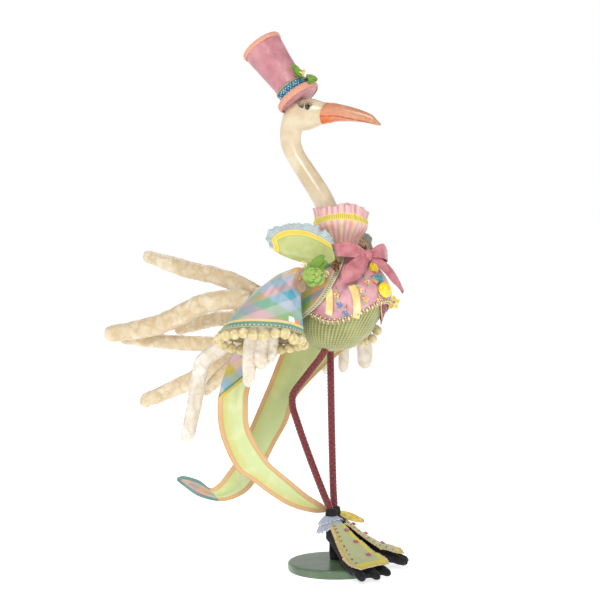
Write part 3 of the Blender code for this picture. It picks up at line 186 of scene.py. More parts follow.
# Hub of the tail feathers: along X, height, half height, half width
HUB_STATIONS = [(-60, 354, 28, 25), (-78, 352, 35, 29), (-105, 347, 42, 31), (-135, 343, 45, 29),
                (-155, 340, 41, 24), (-168, 338, 28, 14)]
TAIL_FEATHERS = [
    ([(-135, -2, 378), (-160, 1, 388), (-201, 4, 400), (-272, 12, 410), (-364, 25, 429)], (11.5, 11, 7.5)),
    ([(-130, -20, 368), (-155, -26, 371), (-211, -32, 361), (-284, -38, 330), (-382, -44, 311)],
     (12, 12.5, 10)),
    ([(-140, 12, 345), (-179, 20, 341), (-236, 25, 335), (-312, 35, 317)], (9, 9.5, 8)),
    ([(-135, -9, 322), (-160, -11, 311), (-200, -12, 304), (-295, -10, 303), (-384, -6, 304)],
     (9.5, 9.5, 8)),
    ([(-140, 12, 305), (-173, 12, 292), (-220, 12, 269), (-273, 12, 241), (-361, 12, 206)], (10, 11, 9)),
    ([(-132, -24, 326), (-148, -42, 311), (-186, -51, 286), (-195, -55, 262), (-200, -58, 226),
      (-213, -62, 166)], (8, 9, 8)),
    ([(-138, -14, 300), (-154, -18, 284), (-178, -22, 263), (-212, -24, 232)], (7.5, 8, 6)),
]

# Dressings on the chest: degrees round from the front, height
ROSE_AT = (-8, 417)
RIBBON_AT = (-14, 403.5)
BUTTON_AT = (-8, 389)
STAR_AT = (25, 371)

# Collar petals, right side
PETAL_ROOT = (33, -50, 435)
PETAL_TIP = (-46, -80, 448)
PETAL_CREST = (-30, -68, 472)
PETAL_SAG = 15.0
PETAL_CUP = 7.0


def rgb(red, green, blue):
    """A colour given as it looks on a screen, from 0 to 255, as linear values with alpha."""
    values = []
    for value in (red / 255, green / 255, blue / 255):
        values.append(value / 12.92 if value <= 0.04045 else ((value + 0.055) / 1.055) ** 2.4)
    return (*values, 1.0)


def scaled(point):
    return Vector(point) * MM


def lerp(low, high, share):
    return low + (high - low) * share


def ease(share):
    share = min(max(share, 0.0), 1.0)
    return share * share * (3 - 2 * share)


def crease(point, size, seed=0.0):
    """Smooth noise from -1 to 1 whose lumps are about this size, in millimetres."""
    return noise.noise(Vector(point) / (size * MM) + Vector((seed, seed * 1.7, seed * 0.3)))


def ring_crease(turn, radius, height, size, seed):
    """Creases that close on themselves round a ring."""
    return crease((cos(turn) * radius, sin(turn) * radius, height), size, seed)


def swing(first, second, turn):
    """What lies this far round from the first to the second."""
    return first * cos(turn) + second * sin(turn)


def travelled(path, unit=1.0):
    """The distance gone at each point of a path."""
    gone = [0.0]
    for a, b in zip(path, path[1:]):
        gone.append(gone[-1] + (b - a).length / unit)
    return gone


def smooth_through(stops, count):
    """That many points along a smooth curve through the stops, tuples of any one length."""
    width = len(stops[0])
    before = tuple(2 * stops[0][i] - stops[1][i] for i in range(width))
    after = tuple(2 * stops[-1][i] - stops[-2][i] for i in range(width))
    padded = [before, *stops, after]
    spans = len(stops) - 1
    points = []
    for step in range(count):
        travel = spans * step / (count - 1)
        span = min(int(travel), spans - 1)
        t = travel - span
        a, b, c, d = padded[span:span + 4]
        points.append(tuple(
            0.5 * (2 * b[i] + (c[i] - a[i]) * t + (2 * a[i] - 5 * b[i] + 4 * c[i] - d[i]) * t ** 2
                   + (3 * b[i] - a[i] - 3 * c[i] + d[i]) * t ** 3)
            for i in range(width)))
    return points


def station(stations, key):
    """The station row at this first value, read from a smooth curve through the rows."""
    keys = [row[0] for row in stations]
    key = min(max(key, keys[0]), keys[-1])
    span = max(i for i in range(len(keys) - 1) if keys[i] <= key)
    share = (key - keys[span]) / (keys[span + 1] - keys[span])
    rows = [stations[max(span - 1, 0)], stations[span], stations[span + 1],
            stations[min(span + 2, len(keys) - 1)]]
    values = []
    for column in range(1, len(rows[0])):
        a, b, c, d = (row[column] for row in rows)
        values.append(0.5 * (2 * b + (c - a) * share + (2 * a - 5 * b + 4 * c - d) * share ** 2
                             + (3 * b - a - 3 * c + d) * share ** 3))
    return values


class Shade:
    """One procedural material. Each method adds nodes and gives back the socket that they end in."""

    def __init__(self, name, roughness, settings=None):
        self.made = bpy.data.materials.new(name)
        self.made.use_nodes = True
        self.tree = self.made.node_tree
        self.shader = self.tree.nodes["Principled BSDF"]
        self.shader.inputs["Roughness"].default_value = roughness
        for socket, value in (settings or {}).items():
            self.shader.inputs[socket].default_value = value

    def put(self, socket, value):
        if isinstance(value, bpy.types.NodeSocket):
            self.tree.links.new(value, socket)
        else:
            socket.default_value = value

    def math(self, operation, *values):
        node = self.tree.nodes.new("ShaderNodeMath")
        node.operation = operation
        for socket, value in zip(node.inputs, values):
            self.put(socket, value)
        return node.outputs[0]

    def times(self, *values):
        return self.math("MULTIPLY", *values)

    def between(self, value, low, high):
        """1 where a value lies between these two, and 0 elsewhere."""
        return self.times(self.math("GREATER_THAN", value, low), self.math("LESS_THAN", value, high))

    def mix(self, share, low, high):
        node = self.tree.nodes.new("ShaderNodeMix")
        node.data_type = "RGBA"
        self.put(node.inputs[0], share)
        self.put(node.inputs[6], low)
        self.put(node.inputs[7], high)
        return node.outputs[2]

    def ramp(self, share, stops):
        node = self.tree.nodes.new("ShaderNodeValToRGB")
        places = node.color_ramp.elements
        while len(places) < len(stops):
            places.new(0.5)
        for place, (position, colour) in zip(places, stops):
            place.position = position
            place.color = colour
        self.put(node.inputs[0], share)
        return node.outputs[0]

    def place(self):
        return self.tree.nodes.new("ShaderNodeTexCoord").outputs["Object"]

    def spread(self, layer):
        """The two values of a layer of distances over the cloth, in metres."""
        source = self.tree.nodes.new("ShaderNodeUVMap")
        source.uv_map = layer
        split = self.tree.nodes.new("ShaderNodeSeparateXYZ")
        self.tree.links.new(source.outputs[0], split.inputs[0])
        return split.outputs[0], split.outputs[1]

    def noise(self, size, detail):
        """Clouds of about this size in millimetres."""
        node = self.tree.nodes.new("ShaderNodeTexNoise")
        node.inputs["Scale"].default_value = 1 / (size * MM)
        node.inputs["Detail"].default_value = detail
        self.tree.links.new(self.place(), node.inputs["Vector"])
        return node.outputs[0]

    def cells(self, size):
        node = self.tree.nodes.new("ShaderNodeTexVoronoi")
        node.inputs["Scale"].default_value = 1 / (size * MM)
        self.tree.links.new(self.place(), node.inputs["Vector"])
        return node.outputs["Distance"]

    def wave(self, distance, pitch, shift=0.0):
        """A sine from 0 to 1 that repeats every pitch millimetres."""
        turned = self.math("MULTIPLY_ADD", distance, TURN / (pitch * MM), shift)
        return self.math("MULTIPLY_ADD", self.math("SINE", turned), 0.5, 0.5)

    def weave(self, pitch=0.9):
        u, v = self.spread("cloth")
        return self.times(self.wave(u, pitch), self.wave(v, pitch))

    def sharpen(self, share, low, high):
        """Takes a value to 0 below low and to 1 above high."""
        node = self.tree.nodes.new("ShaderNodeMapRange")
        self.put(node.inputs[0], share)
        node.inputs[1].default_value = low
        node.inputs[2].default_value = high
        return node.outputs[0]

    def cloud(self, size, detail, low, high):
        """Clouds of about this size in millimetres, with soft edges between these two levels."""
        return self.sharpen(self.noise(size, detail), low, high)

    def veil(self, under, over, share, amount):
        """Lays a colour over another by a share of this amount."""
        return self.mix(self.times(share, amount), under, over)

    def stripe(self, under, distance, low, high, colour):
        """Paints a stripe between two distances, in millimetres, over what is there."""
        return self.mix(self.between(distance, low * MM, high * MM), under, colour)

    def bump(self, height, distance, strength=0.6):
        """Adds relief this many millimetres deep."""
        node = self.tree.nodes.new("ShaderNodeBump")
        node.inputs["Strength"].default_value = strength
        node.inputs["Distance"].default_value = distance * MM
        self.put(node.inputs["Height"], height)
        entry = self.shader.inputs["Normal"]
        if entry.links:
            self.tree.links.new(entry.links[0].from_socket, node.inputs["Normal"])
        self.tree.links.new(node.outputs[0], entry)

    def colour(self, value):
        self.put(self.shader.inputs["Base Color"], value)
        return self.made


CLOTH_SHEEN = {"Sheen Weight": 0.35, "Sheen Roughness": 0.45}


def satin(name, light, dark, roughness=0.36, lump=16, pucker=5, depth=0.5, weave=True):
    """Smooth shiny cloth with painted light and shade: noise clouds mix the dark tone, painted shade
    standing for folds, with the light tone, painted light standing for crests.
    """
    shade = Shade(name, roughness, {"Sheen Weight": 0.25, "Sheen Roughness": 0.4, "Coat Weight": 0.08})
    cloud = shade.cloud(lump, 4, 0.35, 0.68)
    shade.bump(shade.noise(pucker, 3), depth)
    if weave:
        shade.bump(shade.weave(0.7), 0.08)
    # painted shade and painted light: the dark and light tones of one cloth, laid in noise clouds
    return shade.colour(shade.mix(cloud, dark, light))


def crumpled(name, light, dark):
    """Stuffed satin: broad smooth facets that meet in crisp creases, with painted shade that darkens the
    colour along the creases.
    """
    shade = Shade(name, 0.27, {"Sheen Weight": 0.2, "Sheen Roughness": 0.4, "Coat Weight": 0.15})
    tint = 1.0
    for size, depth, reach in ((44, 3.4, 0.17), (20, 1.1, 0.11)):
        off = shade.math("ABSOLUTE", shade.math("SUBTRACT", shade.noise(size, 2), 0.5))
        flat = shade.sharpen(off, 0.0, reach)
        shade.bump(flat, depth)
        # painted shade: the colour goes towards the dark tone along each crease
        tint = shade.times(tint, shade.math("MULTIPLY_ADD", flat, 0.5, 0.5))
    shade.bump(shade.noise(30, 2), 3.0)
    return shade.colour(shade.mix(tint, dark, light))


def plain(name, colour, dark, roughness, lump=4, depth=0.2, settings=None):
    """A mottled finish for small things."""
    shade = Shade(name, roughness, settings)
    cloud = shade.cloud(lump, 4, 0.3, 0.7)
    shade.bump(shade.noise(lump / 2, 3), depth)
    return shade.colour(shade.mix(cloud, dark, colour))


def surface(name, rows, finishes, wraps=False, thickness=0.0, offset=-1.0, caps=False, flip=False):
    """A skin over rows of points, thickened where it is cloth, with two layers of distances in metres.

    Layer cloth holds the distance from the first column and from the first row, and layer rest the distance
    to the last column and to the last row.
    """
    count = len(rows[0])
    across = count if wraps else count - 1
    steps = []
    for row in rows:
        steps.append(travelled([*row, row[0]] if wraps else row))
    if wraps:
        mean = sum(lengths[-1] for lengths in steps) / len(steps)
        steps = [[mean * j / across for j in range(across + 1)]] * len(rows)
    down = [0.0]
    for upper, lower in zip(rows, rows[1:]):
        down.append(down[-1] + sum((b - a).length for a, b in zip(upper, lower)) / count)
    faces, near, far = [], [], []
    for i in range(len(rows) - 1):
        for j in range(across):
            k = (j + 1) % count
            corners = [(i, j, j), (i, k, j + 1), (i + 1, k, j + 1), (i + 1, j, j)]
            if flip:
                corners.reverse()
            faces.append([row * count + column for row, column, _mark in corners])
            for row, _column, mark in corners:
                near.extend((steps[row][mark], down[row]))
                far.extend((steps[row][-1] - steps[row][mark], down[-1] - down[row]))
    if caps:
        last = (len(rows) - 1) * count
        ends = [list(range(count)), list(range(last + count - 1, last - 1, -1))]
        for end in ends:
            faces.append(end if flip else end[::-1])
            near.extend([0.0] * (2 * count))
            far.extend([0.0] * (2 * count))
    mesh = bpy.data.meshes.new(name)
    mesh.from_pydata([point for row in rows for point in row], [], faces)
    mesh.uv_layers.new(name="cloth").data.foreach_set("uv", near)
    mesh.uv_layers.new(name="rest").data.foreach_set("uv", far)
    mesh.shade_smooth()
    piece = bpy.data.objects.new(name, mesh)
    bpy.context.scene.collection.objects.link(piece)
    for finish in finishes:
        mesh.materials.append(finish)
    if thickness:
        cloth = piece.modifiers.new("cloth", "SOLIDIFY")
        cloth.thickness = thickness * MM
        cloth.offset = offset
        cloth.material_offset = len(finishes) - 1
        cloth.material_offset_rim = 0
    return piece


def settle(piece):
    """Applies the modifiers of a piece."""
    bpy.context.view_layer.update()
    evaluated = piece.evaluated_get(bpy.context.evaluated_depsgraph_get())
    mesh = bpy.data.meshes.new_from_object(evaluated)
    piece.modifiers.clear()
    piece.data = mesh
    return piece


def dress(piece, slot, *nodes):
    """Fixes a finished piece in the model: it rides on the root body, and the model's solids named in nodes
    are hidden. The slot is not used.
    """
    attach(piece, "root")
    if nodes:
        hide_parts(*nodes)
    return piece


def frames_along(path, side):
    """At each point of a path: the point, the direction of travel and two axes across it."""
    frames = []
    first = Vector(side)
    for i, point in enumerate(path):
        travel = (path[min(i + 1, len(path) - 1)] - path[max(i - 1, 0)]).normalized()
        first = (first - travel * travel.dot(first)).normalized()
        frames.append((point, travel, first, travel.cross(first)))
    return frames


def tube_rows(path, reach, sides, side=(0, 0, 1)):
    """Rings round a path; reach(i, turn) is the radius there in metres."""
    rows = []
    for i, (point, _travel, first, second) in enumerate(frames_along(path, side)):
        ring = []
        for j in range(sides):
            turn = TURN * j / sides
            ring.append(point + swing(first, second, turn) * reach(i, turn))
        rows.append(ring)
    return rows


def unit_ball(level):
    shape = bmesh.new()
    bmesh.ops.create_icosphere(shape, subdivisions=level, radius=1.0)
    points = [vertex.co.copy() for vertex in shape.verts]
    faces = [tuple(vertex.index for vertex in face.verts) for face in shape.faces]
    shape.free()
    return points, faces


BALLS = {level: unit_ball(level) for level in (1, 2, 3, 4)}


def axes_for(facing, hint=(0, 0, 1)):
    """Three axes at right angles, the third along facing."""
    out = Vector(facing).normalized()
    side = Vector(hint).cross(out)
    if side.length < 0.1:
        side = Vector((1, 0, 0)).cross(out)
    side.normalize()
    return side, out.cross(side), out


class Pile:
    """Many small shapes gathered into one mesh."""

    def __init__(self):
        self.points = []
        self.faces = []
        self.kinds = []

    def add(self, points, faces, kind=0):
        start = len(self.points)
        self.points.extend(points)
        self.faces.extend(tuple(start + i for i in face) for face in faces)
        self.kinds.extend([kind] * len(faces))

    def ball(self, centre, radii, kind=0, level=1, rough=0.0):
        """A ball or egg; its radii, one or three, are in millimetres."""
        radii = [value * MM for value in (radii if isinstance(radii, tuple) else (radii,) * 3)]
        points, faces = BALLS[level]
        placed = []
        for point in points:
            swell = 1 + rough * noise.noise(point * 3 + centre * 300)
            placed.append(centre + Vector([point[i] * radii[i] * swell for i in range(3)]))
        self.add(placed, faces, kind)

    def disc(self, centre, facing, radius, kind=0, sides=8, dome=0.25):
        """A small round spangle, a little domed."""
        side, up, out = axes_for(facing)
        rim = [centre + swing(side, up, TURN * j / sides) * radius
               for j in range(sides)]
        top = centre + out * radius * dome
        low = centre - out * radius * 0.12
        self.add([*rim, top, low], [(j, (j + 1) % sides, sides) for j in range(sides)]
                 + [((j + 1) % sides, j, sides + 1) for j in range(sides)], kind)

    def thread(self, path, radii, kind=0, sides=5, side=(0, 0, 1)):
        """A thin tube with closed ends; its radii, one or a list, are in millimetres."""
        radii = radii if isinstance(radii, list) else [radii] * len(path)
        rows = tube_rows(path, lambda i, turn: radii[i] * MM, sides, side)
        points = [point for row in rows for point in row]
        faces = []
        for i in range(len(rows) - 1):
            for j in range(sides):
                k = (j + 1) % sides
                faces.append((i * sides + j, i * sides + k, (i + 1) * sides + k, (i + 1) * sides + j))
        faces.append(tuple(range(sides))[::-1])
        faces.append(tuple(range(len(points) - sides, len(points))))
        self.add(points, faces, kind)

    def petal(self, root, along, facing, length, width, kind=0, cup=0.25, thick=0.5, rows=6, columns=5):
        """A thin rounded petal with two skins."""
        along = Vector(along).normalized()
        across = along.cross(Vector(facing)).normalized()
        out = across.cross(along)
        skins = []
        for lift in (0.0, thick * MM):
            skin = []
            for i in range(rows):
                s = i / (rows - 1)
                spread = width / 2 * sin(pi * (0.1 + 0.82 * s)) ** 0.7
                for j in range(columns):
                    t = -1 + 2 * j / (columns - 1)
                    rise = cup * (s * s * 0.6 + t * t * 0.4) * width
                    skin.append(root + along * length * s * MM + across * spread * t * MM
                                + out * (rise * MM + lift))
            skins.append(skin)
        faces = []
        size = rows * columns
        for i in range(rows - 1):
            for j in range(columns - 1):
                a = i * columns + j
                faces.append((a, a + 1, a + columns + 1, a + columns))
                faces.append((size + a + columns, size + a + columns + 1, size + a + 1, size + a))
        ring = [j for j in range(columns)] + [i * columns + columns - 1 for i in range(1, rows)]
        ring += [(rows - 1) * columns + j for j in range(columns - 2, -1, -1)]
        ring += [i * columns for i in range(rows - 2, 0, -1)]
        for a, b in zip(ring, ring[1:] + ring[:1]):
            faces.append((b, a, size + a, size + b))
        self.add(skins[0] + skins[1], faces, kind)

    def make(self, name, finishes):
        mesh = bpy.data.meshes.new(name)
        mesh.from_pydata(self.points, [], self.faces)
        for finish in finishes:
            mesh.materials.append(finish)
        mesh.polygons.foreach_set("material_index", self.kinds)
        mesh.shade_smooth()
        piece = bpy.data.objects.new(name, mesh)
        bpy.context.scene.collection.objects.link(piece)
        return piece


# Finishes

PEACH = rgb(236, 190, 172)
SKY = rgb(70, 164, 184)
SUN = rgb(240, 186, 84)
MEADOW = rgb(150, 182, 78)
BLUSH = rgb(226, 150, 138)
MIST = rgb(188, 190, 204)
PLAID_WARP = (SKY, MIST, MEADOW, BLUSH, SUN, MIST)
PLAID_WEFT = (SKY, BLUSH, MIST, SUN, SKY, MEADOW, MIST)
PLAID_BLOCK = 13.5
DIAGONAL = sqrt(0.5)


def plaid_colour(shade, shift=0.0):
    """Pastel plaid of even blocks, cut on the bias."""
    u, v = shade.spread("cloth")
    bands = []
    for operation, tints, start in (("ADD", PLAID_WARP, shift), ("SUBTRACT", PLAID_WEFT, shift * 0.6 + 0.2)):
        along = shade.math(operation, u, v)
        wobble = shade.math("MULTIPLY_ADD", shade.noise(9, 2), 0.012, start)
        phase = shade.math("FRACT", shade.math("MULTIPLY_ADD", along,
                                               DIAGONAL / (PLAID_BLOCK * len(tints) * MM),
                                               wobble))
        soft = 0.1
        stops = []
        for i, tint in enumerate(tints):
            stops += [((i + soft) / len(tints), tint), ((i + 1 - soft) / len(tints), tint)]
        bands.append(shade.ramp(phase, stops))
    return shade.mix(0.5, *bands)


def aged(shade, colour):
    """Cloth a little faded and soiled in clouds."""
    return shade.veil(colour, rgb(150, 130, 100), shade.cloud(22, 4, 0.4, 0.75), 0.16)


def dots(shade, under, along, pitch, colour, distance, low, high):
    """A row of short stitches between two distances."""
    mark = shade.math("GREATER_THAN", shade.wave(along, pitch), 0.55)
    return shade.veil(under, colour, shade.between(distance, low * MM, high * MM), mark)


def cloth_shade(name, roughness=0.45):
    return Shade(name, roughness, CLOTH_SHEEN)


def coat_finish():
    shade = cloth_shade("coat_plaid_satin", 0.42)
    u, v = shade.spread("cloth")
    rest_u, _rest_v = shade.spread("rest")
    colour = plaid_colour(shade)
    for edge in (u, rest_u):
        colour = shade.stripe(colour, edge, 0.0, 9.5, rgb(238, 196, 160))
        colour = shade.stripe(colour, edge, 1.6, 6.2, rgb(118, 150, 128))
        colour = dots(shade, colour, v, 2.6, rgb(226, 226, 190), edge, 2.2, 5.6)
        colour = shade.stripe(colour, edge, 0.0, 1.6, rgb(240, 222, 160))
    colour = shade.stripe(colour, v, 0.0, 5.0, rgb(118, 150, 128))
    colour = dots(shade, colour, u, 2.6, rgb(226, 226, 190), v, 0.8, 4.2)
    shade.bump(shade.noise(5, 3), 0.5)
    shade.bump(shade.weave(0.9), 0.1)
    return shade.colour(aged(shade, colour))


def sleeve_finish(around):
    """Plaid with a teal seam behind, a teal corner in front and two patches there, on a braided hem."""
    shade = cloth_shade("sleeve_plaid_satin", 0.42)
    u, _v = shade.spread("cloth")
    _rest_u, hem = shade.spread("rest")
    colour = plaid_colour(shade, 0.37)
    seam = shade.math("ABSOLUTE", shade.math("SUBTRACT", u, 0.44 * around))
    colour = shade.veil(colour, rgb(70, 176, 184), shade.sharpen(seam, 24 * MM, 4 * MM), 0.65)
    colour = shade.stripe(colour, seam, 0.0, 1.8, rgb(30, 128, 138))
    corner = shade.times(shade.sharpen(u, 34 * MM, 8 * MM), shade.sharpen(hem, 44 * MM, 14 * MM))
    colour = shade.veil(colour, rgb(52, 164, 178), corner, 0.6)
    for start, end, high, tint in ((0.085, 0.125, 20, rgb(250, 244, 236)),
                                   (0.045, 0.082, 18, rgb(232, 142, 96))):
        colour = shade.veil(colour, tint, shade.between(u, around * start, around * end),
                            shade.between(hem, 11.6 * MM, high * MM))
    colour = shade.stripe(colour, hem, 9.4, 11.6, rgb(238, 196, 150))
    colour = shade.stripe(colour, hem, 7.6, 9.4, rgb(232, 214, 120))
    colour = shade.stripe(colour, hem, 0.0, 7.6, rgb(110, 148, 138))
    colour = dots(shade, colour, u, 2.3, rgb(206, 212, 180), hem, 0.9, 3.3)
    colour = dots(shade, colour, u, 2.3, rgb(74, 150, 148), hem, 4.3, 6.8)
    shade.bump(shade.noise(6, 3), 0.6)
    shade.bump(shade.weave(0.9), 0.1)
    return shade.colour(aged(shade, colour))


def tail_lining_finish(name, light, dark, plaid_end, tip):
    """Satin with a tan border; plaid faces it above plaid_end and on its last tip millimetres."""
    shade = cloth_shade(name, 0.34)
    u, v = shade.spread("cloth")
    rest_u, rest_v = shade.spread("rest")
    # Partly painted highlight: the dark tone near the first edge is the cloth's olive, while the paler light
    # tone further in and the pale clouds stand for lit folds.
    band = shade.math("MULTIPLY_ADD", shade.noise(40, 2), 9 * MM, u)
    colour = shade.mix(shade.sharpen(band, 8 * MM, 26 * MM), dark, light)
    colour = shade.veil(colour, rgb(236, 232, 190), shade.cloud(22, 3, 0.5, 0.75), 0.5)
    for edge in (u, rest_u):
        colour = shade.stripe(colour, edge, 0.0, 7.0, rgb(216, 170, 116))
        colour = dots(shade, colour, v, 2.6, rgb(226, 188, 138), edge, 1.6, 5.2)
        colour = shade.stripe(colour, edge, 7.0, 8.0, rgb(205, 200, 140))
    colour = shade.stripe(colour, rest_v, 0.0, 5.0, rgb(216, 170, 116))
    slant = shade.math("MULTIPLY_ADD", u, 1.1, v)
    upper = shade.math("LESS_THAN", slant, plaid_end * MM)
    colour = shade.mix(upper, colour, plaid_colour(shade, 0.1))
    colour = shade.stripe(colour, slant, plaid_end, plaid_end + 3.6, rgb(100, 140, 110))
    colour = shade.stripe(colour, slant, plaid_end + 3.6, plaid_end + 10, rgb(222, 186, 70))
    if tip:
        turned = shade.mix(0.35, plaid_colour(shade, 0.55), rgb(204, 176, 160))
        for edge in (u, rest_u, rest_v):
            turned = shade.stripe(turned, edge, 0.0, 5.0, rgb(108, 148, 140))
        colour = shade.mix(shade.sharpen(rest_v, (tip + 2) * MM, tip * MM), colour, turned)
    shade.bump(shade.noise(7, 3), 0.6)
    shade.bump(shade.noise(22, 3), 1.6)
    shade.bump(shade.weave(0.8), 0.08)
    return shade.colour(colour)


def tail_outer_finish():
    shade = cloth_shade("tail_outer_plaid", 0.42)
    u, v = shade.spread("cloth")
    rest_u, _rest_v = shade.spread("rest")
    colour = shade.mix(0.35, plaid_colour(shade, 0.55), PEACH)
    for edge in (u, rest_u):
        colour = shade.stripe(colour, edge, 0.0, 4.5, rgb(70, 155, 160))
        colour = dots(shade, colour, v, 3.0, rgb(224, 226, 196), edge, 1.2, 3.4)
    shade.bump(shade.noise(7, 3), 0.6)
    shade.bump(shade.weave(0.9), 0.1)
    return shade.colour(aged(shade, colour))


def seersucker_finish(name, light, line, pitch, dark):
    """A grid of crinkled lines."""
    shade = Shade(name, 0.85, CLOTH_SHEEN)
    u, v = shade.spread("cloth")
    colour = shade.mix(shade.cloud(18, 4, 0.35, 0.7), dark, light)
    for axis, share in ((u, 0.7), (v, 0.3)):
        mark = shade.sharpen(shade.wave(axis, pitch), 0.4, 0.9)
        colour = shade.veil(colour, line, mark, share)
    relief = shade.math("MULTIPLY_ADD", shade.wave(v, pitch), 0.4, shade.wave(u, pitch))
    shade.bump(relief, 0.3)
    shade.bump(shade.noise(2.2, 2), 0.4)
    return shade.colour(colour)


def spat_finish():
    shade = Shade("spat_checked_cloth", 0.8, CLOTH_SHEEN)
    u, v = shade.spread("cloth")
    rest_u, rest_v = shade.spread("rest")
    colour = rgb(182, 198, 124)
    for axis, tint in ((u, rgb(150, 170, 96)), (v, rgb(214, 206, 176))):
        mark = shade.math("GREATER_THAN", shade.wave(axis, 2.6), 0.5)
        colour = shade.veil(colour, tint, mark, 0.6)
    colour = shade.veil(colour, rgb(196, 180, 170), shade.noise(12, 3), 0.3)
    for edge, along in ((rest_u, v), (rest_v, u)):
        colour = shade.stripe(colour, edge, 0.0, 9.0, rgb(236, 222, 50))
        colour = dots(shade, colour, along, 2.2, rgb(204, 184, 30), edge, 1.2, 8.0)
    colour = shade.stripe(colour, u, 0.0, 5.2, rgb(222, 200, 130))
    colour = dots(shade, colour, v, 2.2, rgb(168, 142, 62), u, 1.0, 4.4)
    shade.bump(shade.weave(1.2), 0.2)
    shade.bump(shade.noise(3, 3), 0.2)
    return shade.colour(colour)


def lace_finish(name, light, dark, hem_tint, pitch=2.4):
    """Openwork: the holes are painted dark and sunk, because the cloth has one skin."""
    shade = Shade(name, 0.85, CLOTH_SHEEN)
    u, v = shade.spread("cloth")
    _rest_u, rest_v = shade.spread("rest")
    holes = shade.times(shade.sharpen(shade.wave(u, pitch), 0.45, 0.8),
                        shade.sharpen(shade.wave(v, pitch, 1.3), 0.45, 0.8))
    colour = shade.mix(holes, light, dark)
    colour = shade.veil(colour, rgb(196, 190, 196), shade.noise(9, 3), 0.45)
    colour = shade.stripe(colour, rest_v, 0.0, 1.8, hem_tint)
    shade.bump(shade.math("SUBTRACT", 1.0, holes), 0.5)
    shade.bump(shade.noise(2.5, 3), 0.3)
    return shade.colour(colour)


def ruff_finish(circumference):
    shade = Shade("ruff_pleated_cloth", 0.7, CLOTH_SHEEN)
    u, v = shade.spread("cloth")
    pleat = shade.wave(u, circumference / RUFF_PLEATS / MM)
    # painted shade and painted light: each pleat runs from a darker pink to a lighter pink
    colour = shade.mix(shade.sharpen(pleat, 0.1, 0.8), rgb(226, 180, 176), rgb(238, 206, 200))
    yellow = shade.sharpen(shade.wave(u, circumference / (RUFF_PLEATS / 2) / MM, 0.8), 0.55, 0.95)
    colour = shade.veil(colour, rgb(238, 220, 158), yellow, 0.6)
    colour = shade.veil(colour, rgb(232, 150, 128), shade.cloud(13, 3, 0.5, 0.7), 0.5)
    low, high = 37.5, 47.0
    colour = shade.stripe(colour, v, high, 90, rgb(238, 200, 196))
    # painted shade: above the yellow band a darker pink lies in the troughs of the pleats
    colour = shade.veil(colour, rgb(220, 168, 170), shade.math("GREATER_THAN", v, high * MM),
                        shade.sharpen(pleat, 0.4, 0.0))
    colour = shade.stripe(colour, v, low, high, rgb(234, 218, 104))
    colour = dots(shade, colour, u, 3.0, rgb(200, 172, 60), v, low + 1.2, high - 1.4)
    shade.bump(shade.noise(4, 3), 0.4)
    shade.bump(shade.weave(0.9), 0.12)
    return shade.colour(colour)


def petal_lining_finish():
    """Yellow green satin with a dotted braid along the upper edge."""
    shade = cloth_shade("collar_lining_satin", 0.36)
    u, v = shade.spread("cloth")
    rest_u, rest_v = shade.spread("rest")
    colour = shade.mix(shade.cloud(26, 2, 0.36, 0.66), rgb(176, 184, 108), rgb(196, 202, 132))
    for edge in (rest_u, rest_v):
        colour = shade.stripe(colour, edge, 0.0, 7.6, rgb(242, 216, 100))
        colour = dots(shade, colour, v if edge == rest_u else u, 2.4, rgb(214, 184, 62), edge, 1.4, 6.2)
        colour = shade.stripe(colour, edge, 7.6, 8.4, rgb(176, 176, 84))
    shade.bump(shade.noise(6, 3), 0.6)
    shade.bump(shade.weave(0.8), 0.08)
    return shade.colour(colour)


def head_finish():
    """Pearly cream paint, salmon on the bill, deep orange at its root and along the mouth."""
    shade = Shade("head_pearl_paint", 0.3, {"Coat Weight": 0.35, "Coat Roughness": 0.2})
    turn, forward = shade.spread("paint")

    def ranged(value, low, high, first, last):
        node = shade.tree.nodes.new("ShaderNodeMapRange")
        shade.put(node.inputs[0], value)
        for socket, number in zip(node.inputs[1:5], (low, high, first, last)):
            socket.default_value = number
        return node.outputs[0]

    cloud = shade.cloud(24, 4, 0.35, 0.7)
    colour = shade.mix(cloud, rgb(206, 186, 150), rgb(228, 214, 184))
    colour = shade.veil(colour, rgb(196, 168, 122), shade.cloud(5, 3, 0.58, 0.75), 0.4)
    root = ranged(turn, radians(80), radians(157), -19.2 * MM, -13.4 * MM)
    ragged = shade.math("MULTIPLY_ADD", shade.noise(5, 3), 2.4 * MM, -1.2 * MM)
    past = shade.math("SUBTRACT", shade.math("ADD", forward, ragged), root)
    bill = shade.mix(ranged(forward, 0.02, 0.062, 0.0, 1.0), rgb(208, 144, 110), rgb(190, 130, 86))
    bill = shade.veil(bill, rgb(214, 98, 28), ranged(turn, radians(95), radians(60), 0.12, 1.0),
                      ranged(past, 0.004, 0.04, 1.0, 0.0))
    bill = shade.mix(ranged(past, 0.0, 0.003, 0.8, 0.0), bill, rgb(190, 84, 26))
    mouth = ranged(forward, -18.4 * MM, 9 * MM, radians(73.5), radians(63))
    mouth = shade.math("ADD", mouth, ranged(forward, 9 * MM, 31 * MM, 0.0, radians(-21)))
    mouth = shade.math("ADD", mouth, ranged(forward, 31 * MM, 61 * MM, 0.0, radians(-22.5)))
    off = shade.math("ABSOLUTE", shade.math("SUBTRACT", turn, mouth))
    width = ranged(forward, -18 * MM, 50 * MM, 0.075, 0.22)
    bill = shade.mix(shade.sharpen(shade.math("DIVIDE", off, width), 1.0, 0.2), bill, rgb(172, 62, 22))
    bill = shade.veil(bill, rgb(240, 196, 160), shade.cloud(6, 4, 0.5, 0.75), 0.35)
    split = shade.tree.nodes.new("ShaderNodeSeparateXYZ")
    shade.tree.links.new(shade.place(), split.inputs[0])
    on_head = shade.math("GREATER_THAN", split.outputs[2], 0.59)
    colour = shade.veil(colour, bill, shade.sharpen(past, 0.0, 1.2 * MM), on_head)
    shade.bump(shade.noise(7, 4), 0.25)
    shade.bump(shade.noise(1.6, 2), 0.06)
    return shade.colour(colour)


